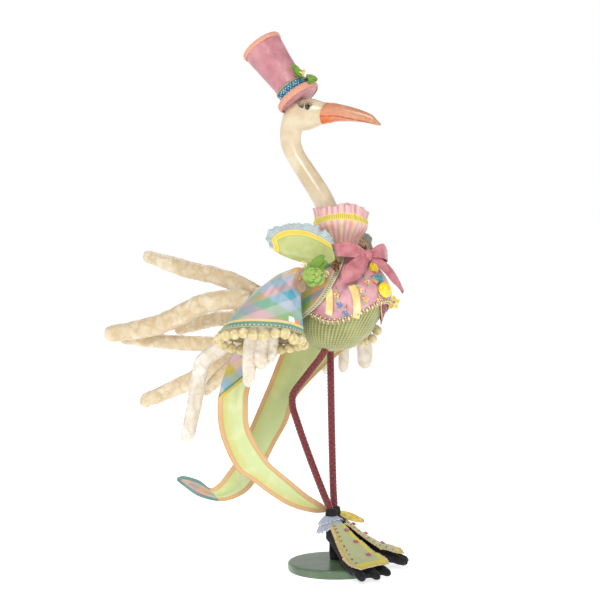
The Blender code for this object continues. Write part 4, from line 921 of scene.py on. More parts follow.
def cord_finish():
    shade = Shade("leg_braided_cord", 0.6, CLOTH_SHEEN)
    u, v = shade.spread("cloth")
    turns = TURN * LEG_RADIUS / 8
    strands = []
    for sign in (1, -1):
        slant = shade.math("MULTIPLY_ADD", v, sign * 0.9, u)
        strands.append(shade.wave(slant, turns * 2))
    grain = shade.times(*strands)
    colour = shade.mix(shade.sharpen(grain, 0.02, 0.4), rgb(98, 22, 26), rgb(126, 34, 36))
    flecks = shade.sharpen(shade.cells(1.5), 0.26, 0.12)
    colour = shade.veil(colour, rgb(196, 150, 140), flecks, 0.35)
    shade.bump(grain, 0.35, 0.7)
    shade.bump(shade.noise(0.8, 2), 0.2)
    return shade.colour(colour)


def velvet_finish():
    shade = Shade("shoe_black_velvet", 0.9, {"Sheen Weight": 0.8, "Sheen Roughness": 0.35,
                                             "Sheen Tint": rgb(120, 118, 130)})
    colour = shade.mix(shade.cloud(9, 4, 0.4, 0.7), rgb(12, 11, 14), rgb(40, 38, 44))
    shade.bump(shade.noise(0.9, 2), 0.3)
    shade.bump(shade.noise(8, 3), 0.8)
    return shade.colour(colour)


def stand_finish():
    shade = Shade("stand_green_gloss", 0.34, {"Coat Weight": 0.25, "Coat Roughness": 0.25})
    colour = shade.mix(shade.cloud(30, 4, 0.35, 0.7), rgb(82, 104, 80), rgb(104, 130, 98))
    colour = shade.mix(shade.cloud(1.2, 2, 0.66, 0.72), colour, rgb(146, 164, 138))
    shade.bump(shade.noise(3, 3), 0.08)
    return shade.colour(colour)


def bead_finish(name, colour, metallic):
    shade = Shade(name, 0.22, {"Metallic": metallic, "Coat Weight": 0.5})
    return shade.colour(shade.mix(shade.noise(2, 2), colour,
                                  tuple(0.7 * value for value in colour[:3]) + (1.0,)))


def sequin_finish():
    shade = Shade("sequin_blue_foil", 0.2, {"Metallic": 0.25, "Coat Weight": 0.6})
    tint = shade.cloud(3.2, 2, 0.3, 0.7)
    colour = shade.mix(tint, rgb(56, 146, 206), rgb(124, 210, 226))
    # painted highlight: small near-white patches stand for glints on the foil
    return shade.colour(shade.mix(shade.cloud(5, 1, 0.6, 0.66), colour, rgb(222, 232, 236)))


def twill_finish(name, light, dark, pitch=2.2):
    """Narrow braid, its strands slanting."""
    shade = Shade(name, 0.7, CLOTH_SHEEN)
    u, v = shade.spread("cloth")
    slant = shade.wave(shade.math("ADD", u, v), pitch)
    shade.bump(slant, 0.4)
    shade.bump(shade.noise(1.2, 2), 0.15)
    return shade.colour(shade.mix(shade.sharpen(slant, 0.3, 0.7), dark, light))


def yarn_finish(name, light, dark):
    shade = Shade(name, 0.9, {"Sheen Weight": 0.5, "Sheen Roughness": 0.6})
    colour = shade.mix(shade.cloud(5, 3, 0.35, 0.68), dark, light)
    shade.bump(shade.noise(0.8, 2), 0.4)
    return shade.colour(colour)


def leaf_finish(name, light, dark):
    shade = Shade(name, 0.55, {"Coat Weight": 0.15})
    u, v = shade.spread("cloth")
    veins = shade.wave(shade.math("MULTIPLY_ADD", v, 0.8, u), 2.6)
    colour = shade.mix(shade.sharpen(veins, 0.6, 0.95), light, dark)
    colour = shade.veil(colour, dark, shade.noise(6, 3), 0.6)
    shade.bump(veins, 0.15)
    return shade.colour(colour)


# In each satin and crumpled finish below, the first colour is a painted-light tone and the second a
# painted-shade tone of the same cloth.
satin_pink = satin("waistcoat_pink_satin", rgb(230, 180, 186), rgb(204, 140, 150), 0.34, 14, 7, 0.7)
satin_hat = satin("hat_rose_satin", rgb(206, 146, 150), rgb(182, 112, 122), 0.5, 22, 9, 0.4)
satin_bow = satin("bow_rose_satin", rgb(210, 138, 142), rgb(180, 96, 106), 0.45, 14, 5, 0.5)
maroon_cloth = satin("bow_maroon_back", rgb(128, 26, 40), rgb(78, 10, 22), 0.5, 10, 4, 0.4)
satin_cream = satin("ribbon_cream_satin", rgb(252, 234, 172), rgb(228, 196, 120), 0.32, 14, 6, 0.4)
satin_feather = crumpled("feather_cream_satin", rgb(238, 224, 194), rgb(202, 172, 124))
satin_wing = crumpled("feather_white_satin", rgb(246, 240, 230), rgb(212, 194, 164))
satin_hub = crumpled("hub_cream_satin", rgb(230, 210, 168), rgb(200, 168, 118))
sleeve_lining = satin("sleeve_lining_satin", rgb(226, 214, 180), rgb(196, 178, 136), 0.5, 20, 8, 0.6)
coat_lining = satin("coat_lining_satin", rgb(190, 196, 150), rgb(146, 150, 100), 0.5, 20, 8, 0.6)
gold_bead = bead_finish("bead_gold", rgb(222, 186, 98), 0.7)
pearl_bead = bead_finish("bead_pearl", rgb(244, 234, 220), 0.1)
pink_stone = bead_finish("stone_pink", rgb(214, 92, 160), 0.35)
black_gloss = plain("eye_black_gloss", rgb(10, 9, 10), rgb(4, 4, 5), 0.08, 3, 0.02, {"Coat Weight": 1.0})
black_hair = plain("lash_black_fibre", rgb(26, 22, 22), rgb(10, 8, 8), 0.55, 3, 0.1)
yellow_petal = plain("petal_yellow", rgb(250, 228, 50), rgb(222, 186, 26), 0.5, 5, 0.3, CLOTH_SHEEN)
cream_petal = plain("petal_cream", rgb(246, 234, 180), rgb(214, 190, 110), 0.6, 4, 0.3, CLOTH_SHEEN)
lime_petal = plain("petal_lime", rgb(176, 204, 104), rgb(130, 166, 70), 0.6, 7, 0.3, CLOTH_SHEEN)
# painted light and painted shade: lit and shaded tones of each ribbon satin
teal_satin = satin("ribbon_teal_satin", rgb(72, 182, 190), rgb(24, 116, 128), 0.34, 8, 4, 0.4)
peach_satin = satin("ribbon_peach_satin", rgb(244, 190, 150), rgb(220, 146, 104), 0.36, 8, 4, 0.3)
brown_shell = plain("nut_brown_shell", rgb(180, 152, 118), rgb(142, 112, 84), 0.42, 8, 0.2)
brown_petal = plain("petal_dry_brown", rgb(150, 98, 60), rgb(92, 52, 32), 0.8, 4, 0.5)
dark_berry = plain("berry_dark", rgb(70, 30, 36), rgb(36, 12, 18), 0.3, 3, 0.1)
green_cord = twill_finish("cord_grey_gold", rgb(196, 186, 124), rgb(84, 122, 116), 2.0)
peach_braid = twill_finish("braid_peach_gold", rgb(238, 190, 152), rgb(208, 116, 106), 2.2)
tape_cream = twill_finish("fringe_tape", rgb(226, 214, 150), rgb(150, 170, 130), 2.2)
pompom_yarn = yarn_finish("pompom_cream_yarn", rgb(244, 230, 180), rgb(206, 184, 120))
mint_thread = plain("thread_mint", rgb(176, 222, 160), rgb(120, 180, 120), 0.5, 3, 0.2, CLOTH_SHEEN)
blue_thread = plain("thread_blue", rgb(120, 160, 210), rgb(72, 110, 170), 0.5, 3, 0.2, CLOTH_SHEEN)
lilac_thread = plain("thread_lilac", rgb(176, 160, 206), rgb(128, 110, 160), 0.5, 3, 0.2, CLOTH_SHEEN)
brown_thread = plain("thread_brown", rgb(140, 116, 96), rgb(92, 72, 60), 0.6, 3, 0.2, CLOTH_SHEEN)
leaf_hat = leaf_finish("leaf_hat_green", rgb(126, 164, 52), rgb(74, 112, 34))


# Stand and legs

def make_disc():
    count = 128
    rows = []
    for radius, height in smooth_through(DISC_PROFILE, 61):
        radius = max(radius, 0.02)
        rows.append([scaled((radius * cos(TURN * j / count), radius * sin(TURN * j / count),
                             min(max(height, 0.0), DISC_HEIGHT + 0.1))) for j in range(count)])
    disc = surface("disc_turned", rows, [stand_finish()], wraps=True)
    dress(disc, "stand_green", "base_disc")


def make_legs():
    finish = cord_finish()
    for side, stops in LEG_STOPS.items():
        count = 420
        path = [scaled(point) for point in smooth_through(stops, count)]
        lengths = travelled(path, MM)

        def reach(i, turn):
            forth = cos(CORD_STRANDS * turn + TURN * lengths[i] / CORD_PITCH)
            back = cos(CORD_STRANDS * turn - TURN * lengths[i] / CORD_PITCH)
            return (LEG_RADIUS - 0.25 + 0.45 * forth * back) * MM

        leg = surface(f"leg_cord_{side}", tube_rows(path, reach, 36, (1, 0, 0)), [finish], wraps=True,
                      caps=True,
                      flip=True)
        dress(leg, "leg_cord", f"leg_{side}")


# Shoes, spats and ankle frills

def foot_point(side, along, across, height):
    """A point of the foot's own frame, sagging where it passes the edge of the stand."""
    heading = HEADINGS[side]
    ankle = ANKLES[side]
    x = ankle[0] + along * cos(heading) - across * sin(heading)
    y = ankle[1] + along * sin(heading) + across * cos(heading)
    overhang = max(hypot(x, y) - DISC_RADIUS - TOE_DROOP_START, 0.0)
    return scaled((x, y, DISC_HEIGHT + 0.3 + height - TOE_DROOP * overhang))


def softened(node, voxel, passes):
    """A rounded copy of a model node's solid."""
    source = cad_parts[node]
    mesh = source.data.copy()
    shape = bmesh.new()
    shape.from_mesh(mesh)
    bmesh.ops.remove_doubles(shape, verts=shape.verts, dist=0.02 * MM)
    shape.to_mesh(mesh)
    shape.free()
    mesh.materials.clear()
    piece = bpy.data.objects.new(node + "_soft", mesh)
    bpy.context.scene.collection.objects.link(piece)
    remesh = piece.modifiers.new("remesh", "REMESH")
    remesh.mode = "VOXEL"
    remesh.voxel_size = voxel * MM
    smooth = piece.modifiers.new("smooth", "SMOOTH")
    smooth.iterations = passes
    smooth.factor = 0.5
    settle(piece)
    piece.data.shade_smooth()
    return piece


def make_shoes():
    velvet = velvet_finish()
    for side in ANKLES:
        shoe = softened(f"shoe_{side}", 1.3, 9)
        for vertex in shoe.data.vertices:
            if vertex.co.z > (DISC_HEIGHT + 1.5) * MM:
                vertex.co += vertex.normal * 0.45 * MM * crease(vertex.co, 9)
        shoe.data.materials.append(velvet)
        dress(shoe, "shoe_velvet", f"shoe_{side}")


def spat_rows(side, lift=1.9):
    rows = []
    for i in range(46):
        s = i / 45
        along, half = smooth_through(SPAT_STATIONS, 46)[i]
        squeeze = 1 - 0.22 * ease((s - 0.82) / 0.18) ** 2
        top = station(SHOE_STATIONS, along)[1] + SPAT_LIFT + lift
        line = []
        for j in range(33):
            across = -1 + j / 16
            height = max(top - 3.5 * across * across, 2 * TOE_RADIUS + SPAT_LIFT + lift)
            point = foot_point(side, along, across * half * squeeze, height)
            point.z += 0.5 * MM * crease(point, 14, 3) + 0.35 * MM * max(0, crease(point, 7, 8))
            line.append(point)
        rows.append(line)
    return rows


def make_spats():
    finish = spat_finish()
    back = plain("spat_backing_cloth", rgb(196, 190, 140), rgb(150, 146, 96), 0.85, 6, 0.3)
    scallop = plain("spat_beige_felt", rgb(226, 206, 158), rgb(196, 170, 110), 0.9, 4, 0.3, CLOTH_SHEEN)
    for side in ANKLES:
        rows = spat_rows(side)
        spat = surface(f"spat_cloth_{side}", rows, [finish, back], thickness=1.6, flip=True)
        dress(spat, "spat_check", f"spat_{side}")
        trim = Pile()
        edges = [(rows[i][0], rows[i][4], rows[min(i + 1, 45)][0] - rows[i - 1][0]) for i in range(1, 45, 2)]
        edges += [(rows[i][32], rows[i][28], rows[min(i + 1, 45)][32] - rows[i - 1][32])
                  for i in range(20, 45, 2)]
        edges += [(rows[45][j], rows[41][j], rows[45][j + 1] - rows[45][j - 1]) for j in range(1, 32, 2)]
        for edge, inner, travel in edges:
            out = (edge - inner).normalized()
            up = out.cross(travel.normalized())
            up = up if up.z > 0 else -up
            trim.petal(edge - out * 1.5 * MM - up * 0.9 * MM, out, up, 4.6, 4.4, 0, 0.04, 0.9)
        for i in range(3, 42, 2):
            across = rows[i][5]
            trim.disc(across + Vector((0, 0, 0.6 * MM)), (0.3 * (i % 3) - 0.2, -0.5, 1), 1.9 * MM,
                      1 + 2 * (i % 4 == 1), 8,
                      0.35)
        for share in (0.24, 0.5, 0.76):
            i = round(45 * share)
            spot = rows[i][22]
            trim.ball(spot + Vector((0, 0, 0.8 * MM)), (3.7, 3.7, 2.6), 2, 1)
            for k in range(12):
                turn = TURN * k / 12
                trim.ball(spot + Vector((cos(turn) * 4.1, sin(turn) * 4.1, 0.4)) * MM,
                          0.7, 1, 1)
        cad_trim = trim.make(f"spat_trim_{side}", [scallop, gold_bead, pink_stone, pearl_bead])
        dress(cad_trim, "spat_check")


ANKLE_FLAPS = {"left": ((0.80, 0.52, -0.36), 34, 15), "right": ((-0.75, -0.5, -2.2), 19, 8)}


def make_ankle_frills():
    finish = lace_finish("ankle_blue_lace", rgb(178, 192, 212), rgb(96, 112, 140), rgb(214, 214, 210))
    # painted light and painted shade: lit and shaded tones of the yellow ribbon
    yellow = satin("ankle_yellow_ribbon", rgb(236, 218, 110), rgb(212, 176, 74), 0.5, 6, 3, 0.3)
    velvet = velvet_finish()
    for side in ANKLES:
        start, end = (radians(value) for value in RUFFLE_SPANS[side])
        ankle = ANKLES[side]
        heading = HEADINGS[side]
        steps = 190
        for tier, (top, reach, drop, waves) in enumerate(((75.0, 19.5, 22.0, 13), (76.5, 16.5, 13.0, 17))):
            rows = []
            for i in range(13):
                s = i / 12
                line = []
                for j in range(steps):
                    bearing = lerp(start, end, j / (steps - 1))
                    over = max(cos(bearing - heading), 0.0)
                    wave = sin(waves * (bearing - start) + 1.3 * crease((bearing, tier, 0.0), 900))
                    ragged = crease((bearing, tier, 0.5), 120)
                    radius = lerp(8.6, reach, s ** 0.8) + (1.9 * wave + 1.6 * ragged) * s
                    height = top - (drop - over * 10.0) * s ** 1.2 + 0.9 * cos(waves * bearing * 1.3) * s
                    line.append(scaled((ankle[0] + radius * cos(bearing), ankle[1] + radius * sin(bearing),
                                        height)))
                rows.append(line)
            frill = surface(f"ankle_lace_{side}_{tier + 1}", rows, [finish], thickness=0.7, flip=True)
            dress(frill, "ankle_lace", f"ankle_ruffle_{side}")
        cuff_rows = []
        for height, radius in ((68.0, 8.8), (74.0, 8.6), (80.0, 8.2), (84.5, 7.8), (86.0, 6.6), (86.4, 4.0)):
            cuff_rows.append([scaled((ankle[0] + radius * cos(TURN * j / 40), ankle[1]
                                      + radius * sin(TURN * j / 40), height)) for j in range(40)])
        cuff = surface(f"ankle_cuff_{side}", cuff_rows, [velvet], wraps=True, caps=True)
        dress(cuff, "shoe_velvet")
        way, length, width = ANKLE_FLAPS[side]
        way = Vector(way).normalized()
        facing = Vector((0.3, -0.5, 1))
        root = scaled((ankle[0], ankle[1], 79.0)) + way * 6.0 * MM
        tie = Pile()
        tie.petal(root, way, facing, length, width, 0, 0.12, 0.9, 14, 9)
        tie.petal(root + way * length * 0.55 * MM + Vector((0, 0, 0.6 * MM)), way, facing, length * 0.55,
                  width * 0.75, 1,
                  0.12, 0.6, 10, 7)
        dress(tie.make(f"ankle_tie_{side}", [yellow, peach_satin]), "ankle_lace")


# Body and waistcoat

def body_point(height, bearing, lift=0.0):
    centre, length, width = station(BODY_STATIONS, height)
    return scaled((centre + (length + lift) * cos(bearing), (width + lift) * sin(bearing), height))


def hem_at(bearing):
    return HEM_HEIGHT + sum(wave * cos((i + 1) * bearing) for i, wave in enumerate(HEM_WAVES))


def on_chest(degrees, height, lift):
    """A spot that far off the body, with the directions beside, up and out there."""
    bearing = radians(degrees)
    spot = body_point(height, bearing, lift)
    up = (body_point(height + 2, bearing, lift) - body_point(height - 2, bearing, lift)).normalized()
    beside = (body_point(height, bearing + 0.04, lift) - spot).normalized()
    out = beside.cross(up).normalized()
    return spot, out.cross(up).normalized() * -1, up, out


def make_body():
    finish = seersucker_finish("body_olive_seersucker", rgb(150, 154, 94), rgb(192, 192, 138), 4.0,
                               rgb(120, 124, 68))
    low, high = BODY_STATIONS[0][0], BODY_STATIONS[-1][0]
    rows = []
    for i in range(70):
        height = low + (high - low) * (0.5 - 0.5 * cos(pi * i / 69))
        line = []
        for j in range(144):
            bearing = TURN * j / 144
            point = body_point(height, bearing)
            seam = abs(sin(bearing / 2 + 0.2))
            sink = 0.9 * exp(-((seam / 0.035) ** 2)) if height < 436 else 0.0
            out = Vector((cos(bearing), sin(bearing), 0))
            line.append(point + out * (0.5 * crease(point, 13, 5) - sink) * MM)
        rows.append(line)
    body = surface("body_stuffed", rows, [finish], wraps=True, caps=True)
    dress(body, "body_check", "body")


def make_waistcoat():
    rows = []
    count = 240
    for i in range(60):
        s = i / 59
        line = []
        for j in range(count):
            bearing = TURN * j / count
            height = lerp(hem_at(bearing), WAISTCOAT_TOP, s)
            point = body_point(height, bearing, WAISTCOAT_LIFT + CLOTH)
            out = Vector((cos(bearing), sin(bearing), 0))
            fold = 0.5 * crease(point, 16, 21) + 0.35 * abs(crease((point.x, point.y, point.z * 0.3), 8, 4))
            line.append(point + out * fold * MM)
        rows.append(line)
    waistcoat = surface("waistcoat_cloth", rows, [satin_pink, coat_lining], wraps=True, thickness=1.6)
    dress(waistcoat, "waistcoat_satin", "waistcoat")
    for number, (top, bottom) in enumerate((((-83, 399), (-77, 356.5)), ((-53, 397), (-41, 352.5)))):
        strip = []
        for i in range(30):
            s = i / 29
            spot, beside, _up, out = on_chest(lerp(top[0], bottom[0], s), lerp(top[1], bottom[1], s),
                                              WAISTCOAT_LIFT + CLOTH + 1.5)
            line = []
            for j in range(9):
                t = -1 + j / 4
                bulge = 0.45 * (1 - t * t) + 0.4 * crease((s * 0.02, t * 0.01, number), 6)
                line.append(spot + (beside * 5.2 * t + out * bulge) * MM)
            strip.append(line)
        ribbon = surface(f"waistcoat_ribbon_{number + 1}", strip, [satin_cream], thickness=0.7)
        dress(ribbon, "waistcoat_satin")
    stitches = Pile()
    for degrees, height in ((-72, 383.5), (-44, 390), (-36, 378), (-57, 358), (-16, 376.5), (-30, 400.5),
                            (-67, 370), (60, 390), (95, 380), (130, 388), (-98, 392)):
        spot, beside, up, out = on_chest(degrees, height, WAISTCOAT_LIFT + CLOTH + 0.6)
        for k in range(5):
            turn = TURN * k / 5 + 0.3
            way = swing(beside, up, turn)
            stitches.petal(spot + way * 0.8 * MM, way, out, 4.0, 3.0, round(degrees) % 2 * 4 + k % 2, 0.02,
                           0.5)
        stitches.ball(spot + out * 0.5 * MM, 1.1, 2, 1)
        for k in (0.9, 2.3):
            way = swing(beside, up, k * 2)
            stitches.petal(spot + way * 4.2 * MM, way, out, 4.6, 2.6, 3, 0.02, 0.4)
            path = [spot + (way * step + up * 0.04 * step * step) * MM for step in (2, 4, 6, 8, 10)]
            stitches.thread(path, 0.35, 6, 4, out)
    motifs = stitches.make("waistcoat_stitched_flowers", [satin_cream, peach_satin, gold_bead, mint_thread,
                                                          blue_thread, lilac_thread, brown_thread])
    dress(motifs, "waistcoat_satin")
    beads = Pile()
    for row, (drop, lift, size) in enumerate(((-1.6, 4.4, 1.5), (1.4, 4.9, 1.9), (4.4, 4.2, 1.5))):
        total = 112
        for j in range(total):
            bearing = TURN * (j + 0.5 * (row % 2)) / total
            centre = body_point(hem_at(bearing) - drop, bearing, lift)
            beads.ball(centre, size, (j + row) % 2, 2 if row == 1 else 1)
    hem = beads.make("waistcoat_bead_hem", [gold_bead, pearl_bead])
    dress(hem, "gold_beads", "bead_hem")


# Head, neck and bill

def in_neck_plane(forward, up, sideways=0.0):
    return scaled((forward * cos(NECK_YAW) - sideways * sin(NECK_YAW),
                   forward * sin(NECK_YAW) + sideways * cos(NECK_YAW), up))


def across_neck(point):
    """The mirror image of a point in the neck's plane."""
    sideways = Vector((-sin(NECK_YAW), cos(NECK_YAW), 0))
    return point - sideways * 2 * point.dot(sideways)


def mouth_turn(forward):
    """How far round from the bill's underside the mouth line runs at this distance along it."""
    stops = [(-40.0, 75.0), (-18.4, 73.5), (9.0, 63.0), (31.0, 42.0), (61.0, 19.5), (80.0, 15.0)]
    for (low, first), (high, last) in zip(stops, stops[1:]):
        if forward <= high:
            return radians(lerp(first, last, max(forward - low, 0.0) / (high - low)))
    return radians(stops[-1][1])


def make_head():
    stops = NECK_SECTIONS + [(forward, low, forward, high, half) for forward, high, low,
                             half in BILL_SECTIONS]
    count, sides = 230, 72
    rows, marks = [], []
    for front_x, front_z, back_x, back_z, half in smooth_through(stops, count):
        middle = Vector(((front_x + back_x) / 2, (front_z + back_z) / 2))
        reach = Vector((front_x, front_z)) - middle
        line, mark = [], []
        for j in range(sides):
            turn = TURN * j / sides
            from_front = min(turn, TURN - turn)
            spot = middle + reach * cos(turn)
            width = half * sin(turn)
            if spot.x > BILL_ROOT:
                deep = 0.85 * ease((spot.x - BILL_ROOT) / 6)
                off = (from_front - mouth_turn(spot.x)) / 0.13
                width *= 1 - deep / max(half, 2) * exp(-off * off)
            point = in_neck_plane(spot.x, spot.y, width)
            if spot.x < -10:
                point += Vector((0, 0, 0.25 * MM * crease(point, 12, 2)))
            line.append(point)
            mark.append((from_front, spot.x * MM))
        rows.append(line)
        marks.extend(mark)
    head = surface("head_painted", rows, [head_finish()], wraps=True, caps=True)
    layer = head.data.uv_layers.new(name="paint").data
    for loop in head.data.loops:
        layer[loop.index].uv = marks[loop.vertex_index]
    dress(head, "head_cream", "head_and_neck")
    for side_name, mirror in (("right", False), ("left", True)):
        spot = scaled(EYE)
        out = Vector((0.2, -0.93, 0.3)).normalized()
        back = Vector((-0.94, -0.2, 0.1)).normalized()
        back = (back - out * back.dot(out)).normalized()
        up = back.cross(out)
        up = up if up.z > 0 else -up
        if mirror:
            spot, out, back, up = (across_neck(item) for item in (spot, out, back, up))
        eye = Pile()
        eye.ball(spot - out * 0.4 * MM, EYE_RADIUS, 0, 4)
        ring = [spot - out * 0.35 * MM + swing(back, up, TURN * k / 40)
                * (EYE_RADIUS + 0.15) * MM for k in range(41)]
        eye.thread(ring, 0.3, 1, 6)
        dress(eye.make(f"eye_{side_name}", [black_gloss, black_hair]), "lash_black")
        lashes = Pile()
        hairs = random.Random(5)
        behind = spot + (back * 7.6 - up * 1.0 + out * 0.2) * MM
        lashes.ball(behind, (1.9, 1.0, 1.3), 0, 2)
        for k in range(13):
            rear = k < 6
            share = k / 5 if rear else (k - 6) / 6
            root = behind + back * lerp(3.2, -2.4, share) * MM if rear else spot + (
                back * lerp(2.6, -4.0, share) + up * 1.6 + out * 0.6) * MM
            way = up + back * (lerp(0.8, 0.0, share) if rear else lerp(0.2, -0.95, share)) + out * 0.45
            length = hairs.uniform(8.5, 10.5)
            path = []
            for i in range(6):
                s = i / 5
                path.append(root + way.normalized() * length * s * MM + out * 1.0 * s * s * MM)
            lashes.thread(path, [lerp(0.45, 0.16, i / 5) for i in range(6)], 0, 4, (0.3, 0.2, 1))
        dress(lashes.make(f"lashes_{side_name}", [black_hair]), "lash_black", f"eyelashes_{side_name}")


# Top hat

def hat_frame():
    axis = Vector(HAT_AXIS).normalized()
    front = (Vector((1, 0, 0)) - axis * axis.x).normalized()
    return scaled(HAT_SEAT), axis, front, axis.cross(front)


def on_hat(radius, height, turn):
    seat, axis, front, side = hat_frame()
    return seat + (axis * height + swing(front, side, turn) * radius) * MM


BRIM_MIDDLE = 15.2
BRIM_HALF = 14.6
BRIM_THICK = 5.4
BRIM_LIFT = 3.8


def brim_profile(turn, swell):
    """Radius and height of the padded brim, from its middle round to its edge."""
    rise = copysign(abs(sin(turn)) ** 0.6, sin(turn))
    return BRIM_MIDDLE - (BRIM_HALF + swell) * cos(turn), BRIM_LIFT + (BRIM_THICK + swell) * rise


def crown_radius(height):
    share = max(height, 0.0) / CROWN_HEIGHT
    return CROWN_FOOT + (CROWN_TOP - CROWN_FOOT) * share ** 1.3


def make_hat():
    _seat, axis, front, side = hat_frame()
    count, fine = 144, 288
    profile = []
    for i in range(46):
        height = lerp(3.4, CROWN_HEIGHT - 3.0, i / 45)
        profile.append((crown_radius(height), height, 1.0))
    top = CROWN_TOP - 0.4
    profile += [(top, CROWN_HEIGHT - 1.6, 0.6), (top - 1.2, CROWN_HEIGHT - 0.3, 0.3),
                (top - 4, CROWN_HEIGHT - 0.2, 0.2),
                (top - 9, CROWN_HEIGHT - 1.0, 0.2), (top - 16, CROWN_HEIGHT - 1.7, 0.1),
                (top - 23, CROWN_HEIGHT - 1.9, 0.1), (0.3, CROWN_HEIGHT - 2.0, 0.0)]
    rows = []
    for radius, height, soft in profile:
        line = []
        for j in range(count):
            turn = TURN * j / count
            lump = 0.7 * ring_crease(turn, 0.03, height * 0.0004, 14, 3)
            drape = 0.5 * ring_crease(turn, 0.03, height * 0.0012, 9, 8)
            line.append(on_hat(radius + (lump + drape) * soft, height, turn))
        rows.append(line)
    crown = surface("hat_crown", rows, [satin_hat], wraps=True)
    dress(crown, "hat_satin", "top_hat")
    brim_rows = []
    for i in range(45):
        turn_in = TURN * i / 44
        line = []
        for j in range(count):
            turn = TURN * j / count
            pucker = 0.3 * ring_crease(turn, 0.03, turn_in * 0.01, 6, 2)
            line.append(on_hat(*brim_profile(turn_in, pucker), turn))
        brim_rows.append(line)
    brim = surface("hat_brim", brim_rows, [satin_hat], wraps=True, flip=True)
    dress(brim, "hat_satin", "top_hat")

    braid_rows = []
    for i in range(13):
        turn_in = radians(lerp(206, 128, i / 12))
        line = []
        for j in range(fine):
            ridge = 0.25 * cos(TURN * 58 * j / fine) * sin(pi * i / 12)
            swell = 0.5 + 0.8 * max(sin(pi * i / 12), 0.0) ** 0.5 + ridge
            line.append(on_hat(*brim_profile(turn_in, swell), TURN * j / fine))
        braid_rows.append(line)
    braid = surface("hat_brim_braid_band", braid_rows, [peach_braid], wraps=True, thickness=0.6, flip=True)
    dress(braid, "braid_peach", "hat_brim_braid")
    rim_rows = []
    for i in range(15):
        s = i / 14
        height = lerp(CROWN_HEIGHT - 6.2, CROWN_HEIGHT + 0.4, s)
        line = []
        for j in range(fine):
            turn = TURN * j / fine
            ridge = 0.25 * cos(TURN * 58 * j / fine) * sin(pi * s * 3)
            bulge = 0.9 * sin(pi * min(max(s, 0.02), 0.98)) ** 0.5
            line.append(on_hat(crown_radius(min(height, CROWN_HEIGHT - 2)) + 0.2 + bulge + ridge, height,
                               turn))
        rim_rows.append(line)
    rim = surface("hat_rim_braid", rim_rows, [peach_braid], wraps=True, thickness=0.6)
    dress(rim, "braid_peach")
    spangles = Pile()
    for row in range(4):
        height = lerp(BAND_LOW + 1.2, BAND_HIGH - 1.2, row / 3)
        around = 30
        for j in range(around):
            turn = TURN * (j + 0.5 * (row % 2)) / around
            out = swing(front, side, turn)
            tilt = out + axis * rng.uniform(-0.25, 0.5) + out.cross(axis) * rng.uniform(-0.4, 0.4)
            spangles.disc(on_hat(crown_radius(height) + 1.0 + 0.3 * (j % 2), height, turn), tilt, 2.5 * MM,
                          0, 10, 0.22)
            spangles.ball(on_hat(crown_radius(height) + 1.9, height, turn), 0.5, 1, 1)
    dress(spangles.make("hat_sequins", [sequin_finish(), pearl_bead]), "sequin_blue", "hat_band")
    base_rows = [[on_hat(crown_radius(height) + 0.7, height, TURN * j / count) for j in range(count)]
                 for height in (BAND_LOW - 0.6, 10.5, 13.5, 16.5, BAND_HIGH + 0.4)]
    band_blue = plain("band_blue", rgb(74, 160, 196), rgb(44, 116, 160), 0.5)
    band = surface("hat_band_backing", base_rows, [band_blue],
                   wraps=True, thickness=0.6)
    dress(band, "sequin_blue", "hat_band")
    cord_path = [on_hat(crown_radius(BAND_HIGH) + 1.3, BAND_HIGH + 1.9, TURN * k / 180) for k in range(181)]
    cord_rows = tube_rows(cord_path, lambda i, turn: (1.4 + 0.3 * cos(2 * turn + TURN * 40 * i / 180)) * MM,
                          14, axis)
    cord = surface("hat_band_cord", cord_rows, [green_cord], wraps=True)
    dress(cord, "leaf_green", "hat_top_braid")
    sprig = Pile()
    facing = Vector((0.57, -0.82, 0.3))
    for root, tip, half in (((-42, -22, 677), (-51, -29, 694), 5.0), ((-40, -22, 679), (-47, -30, 690), 4.2),
                            ((-35, -20, 678.5), (-22, -12, 671.5), 5.0),
                            ((-34, -21, 676), (-25, -17, 668), 4.4)):
        way = scaled(tip) - scaled(root)
        sprig.petal(scaled(root), way, facing, way.length / MM, half * 2, 0, 0.45, 0.6, 12, 9)
    for k in range(16):
        turn = k * 2.4
        way = (Vector((-0.2, -0.45, 0.75)) + Vector((cos(turn), sin(turn), 0.2)) * 0.55).normalized()
        root = scaled((-37.5, -20.5, 679))
        length = rng.uniform(6, 9.5)
        path = [root + way * length * s * MM / 4 for s in range(5)]
        sprig.thread(path, 0.42, 1, 5, (0.3, 0.8, 0.1))
        sprig.ball(path[-1], 1.25, 1, 2)
    sprig.ball(scaled((-33, -21.5, 673)), (2.9, 2.9, 3.2), 2, 3, 0.06)
    dress(sprig.make("hat_sprig", [leaf_hat, cream_petal, dark_berry]), "leaf_green", "hat_leaf_1",
          "hat_leaf_2",
          "hat_flower")


# Ruff

def make_ruff():
    count = RUFF_PLEATS * 12
    rows = []
    sides_seen = radians(35)
    for height, radius, pleat in smooth_through(RUFF_PROFILE, 50):
        line = []
        for j in range(count):
            turn = TURN * j / count
            fold = cos(RUFF_PLEATS * turn + 0.5 * crease((cos(turn), sin(turn), height * 0.01), 900, 3))
            deep = pleat * (0.7 * fold + 0.3 * cos(2.5 * RUFF_PLEATS * turn))
            shifted = 0.9 * ring_crease(turn, 0.03, height * MM, 20, 7)
            sag = RUFF_SAG * cos(turn - sides_seen) ** 2 * ease((height - 455) / 25)
            frill = ease((height - 486) / 14)
            wave = (1.8 * sin(RUFF_PLEATS * 0.42 * turn) + 1.4 * cos(3 * turn + 1)) * frill
            reach = radius + deep + shifted + 1.6 * sin(RUFF_PLEATS * 0.55 * turn + 1) * frill
            line.append(scaled((RUFF_CENTRE[0] + reach * cos(turn), RUFF_CENTRE[1] + reach * sin(turn),
                                height - sag + wave)))
        rows.append(line)
    middle = rows[len(rows) // 2]
    around = sum((b - a).length for a, b in zip(middle, middle[1:]))
    ruff = surface("ruff_pleated", rows, [ruff_finish(around)], wraps=True, thickness=1.0)
    dress(ruff, "ruff_pink", "neck_ruff")


# Bow

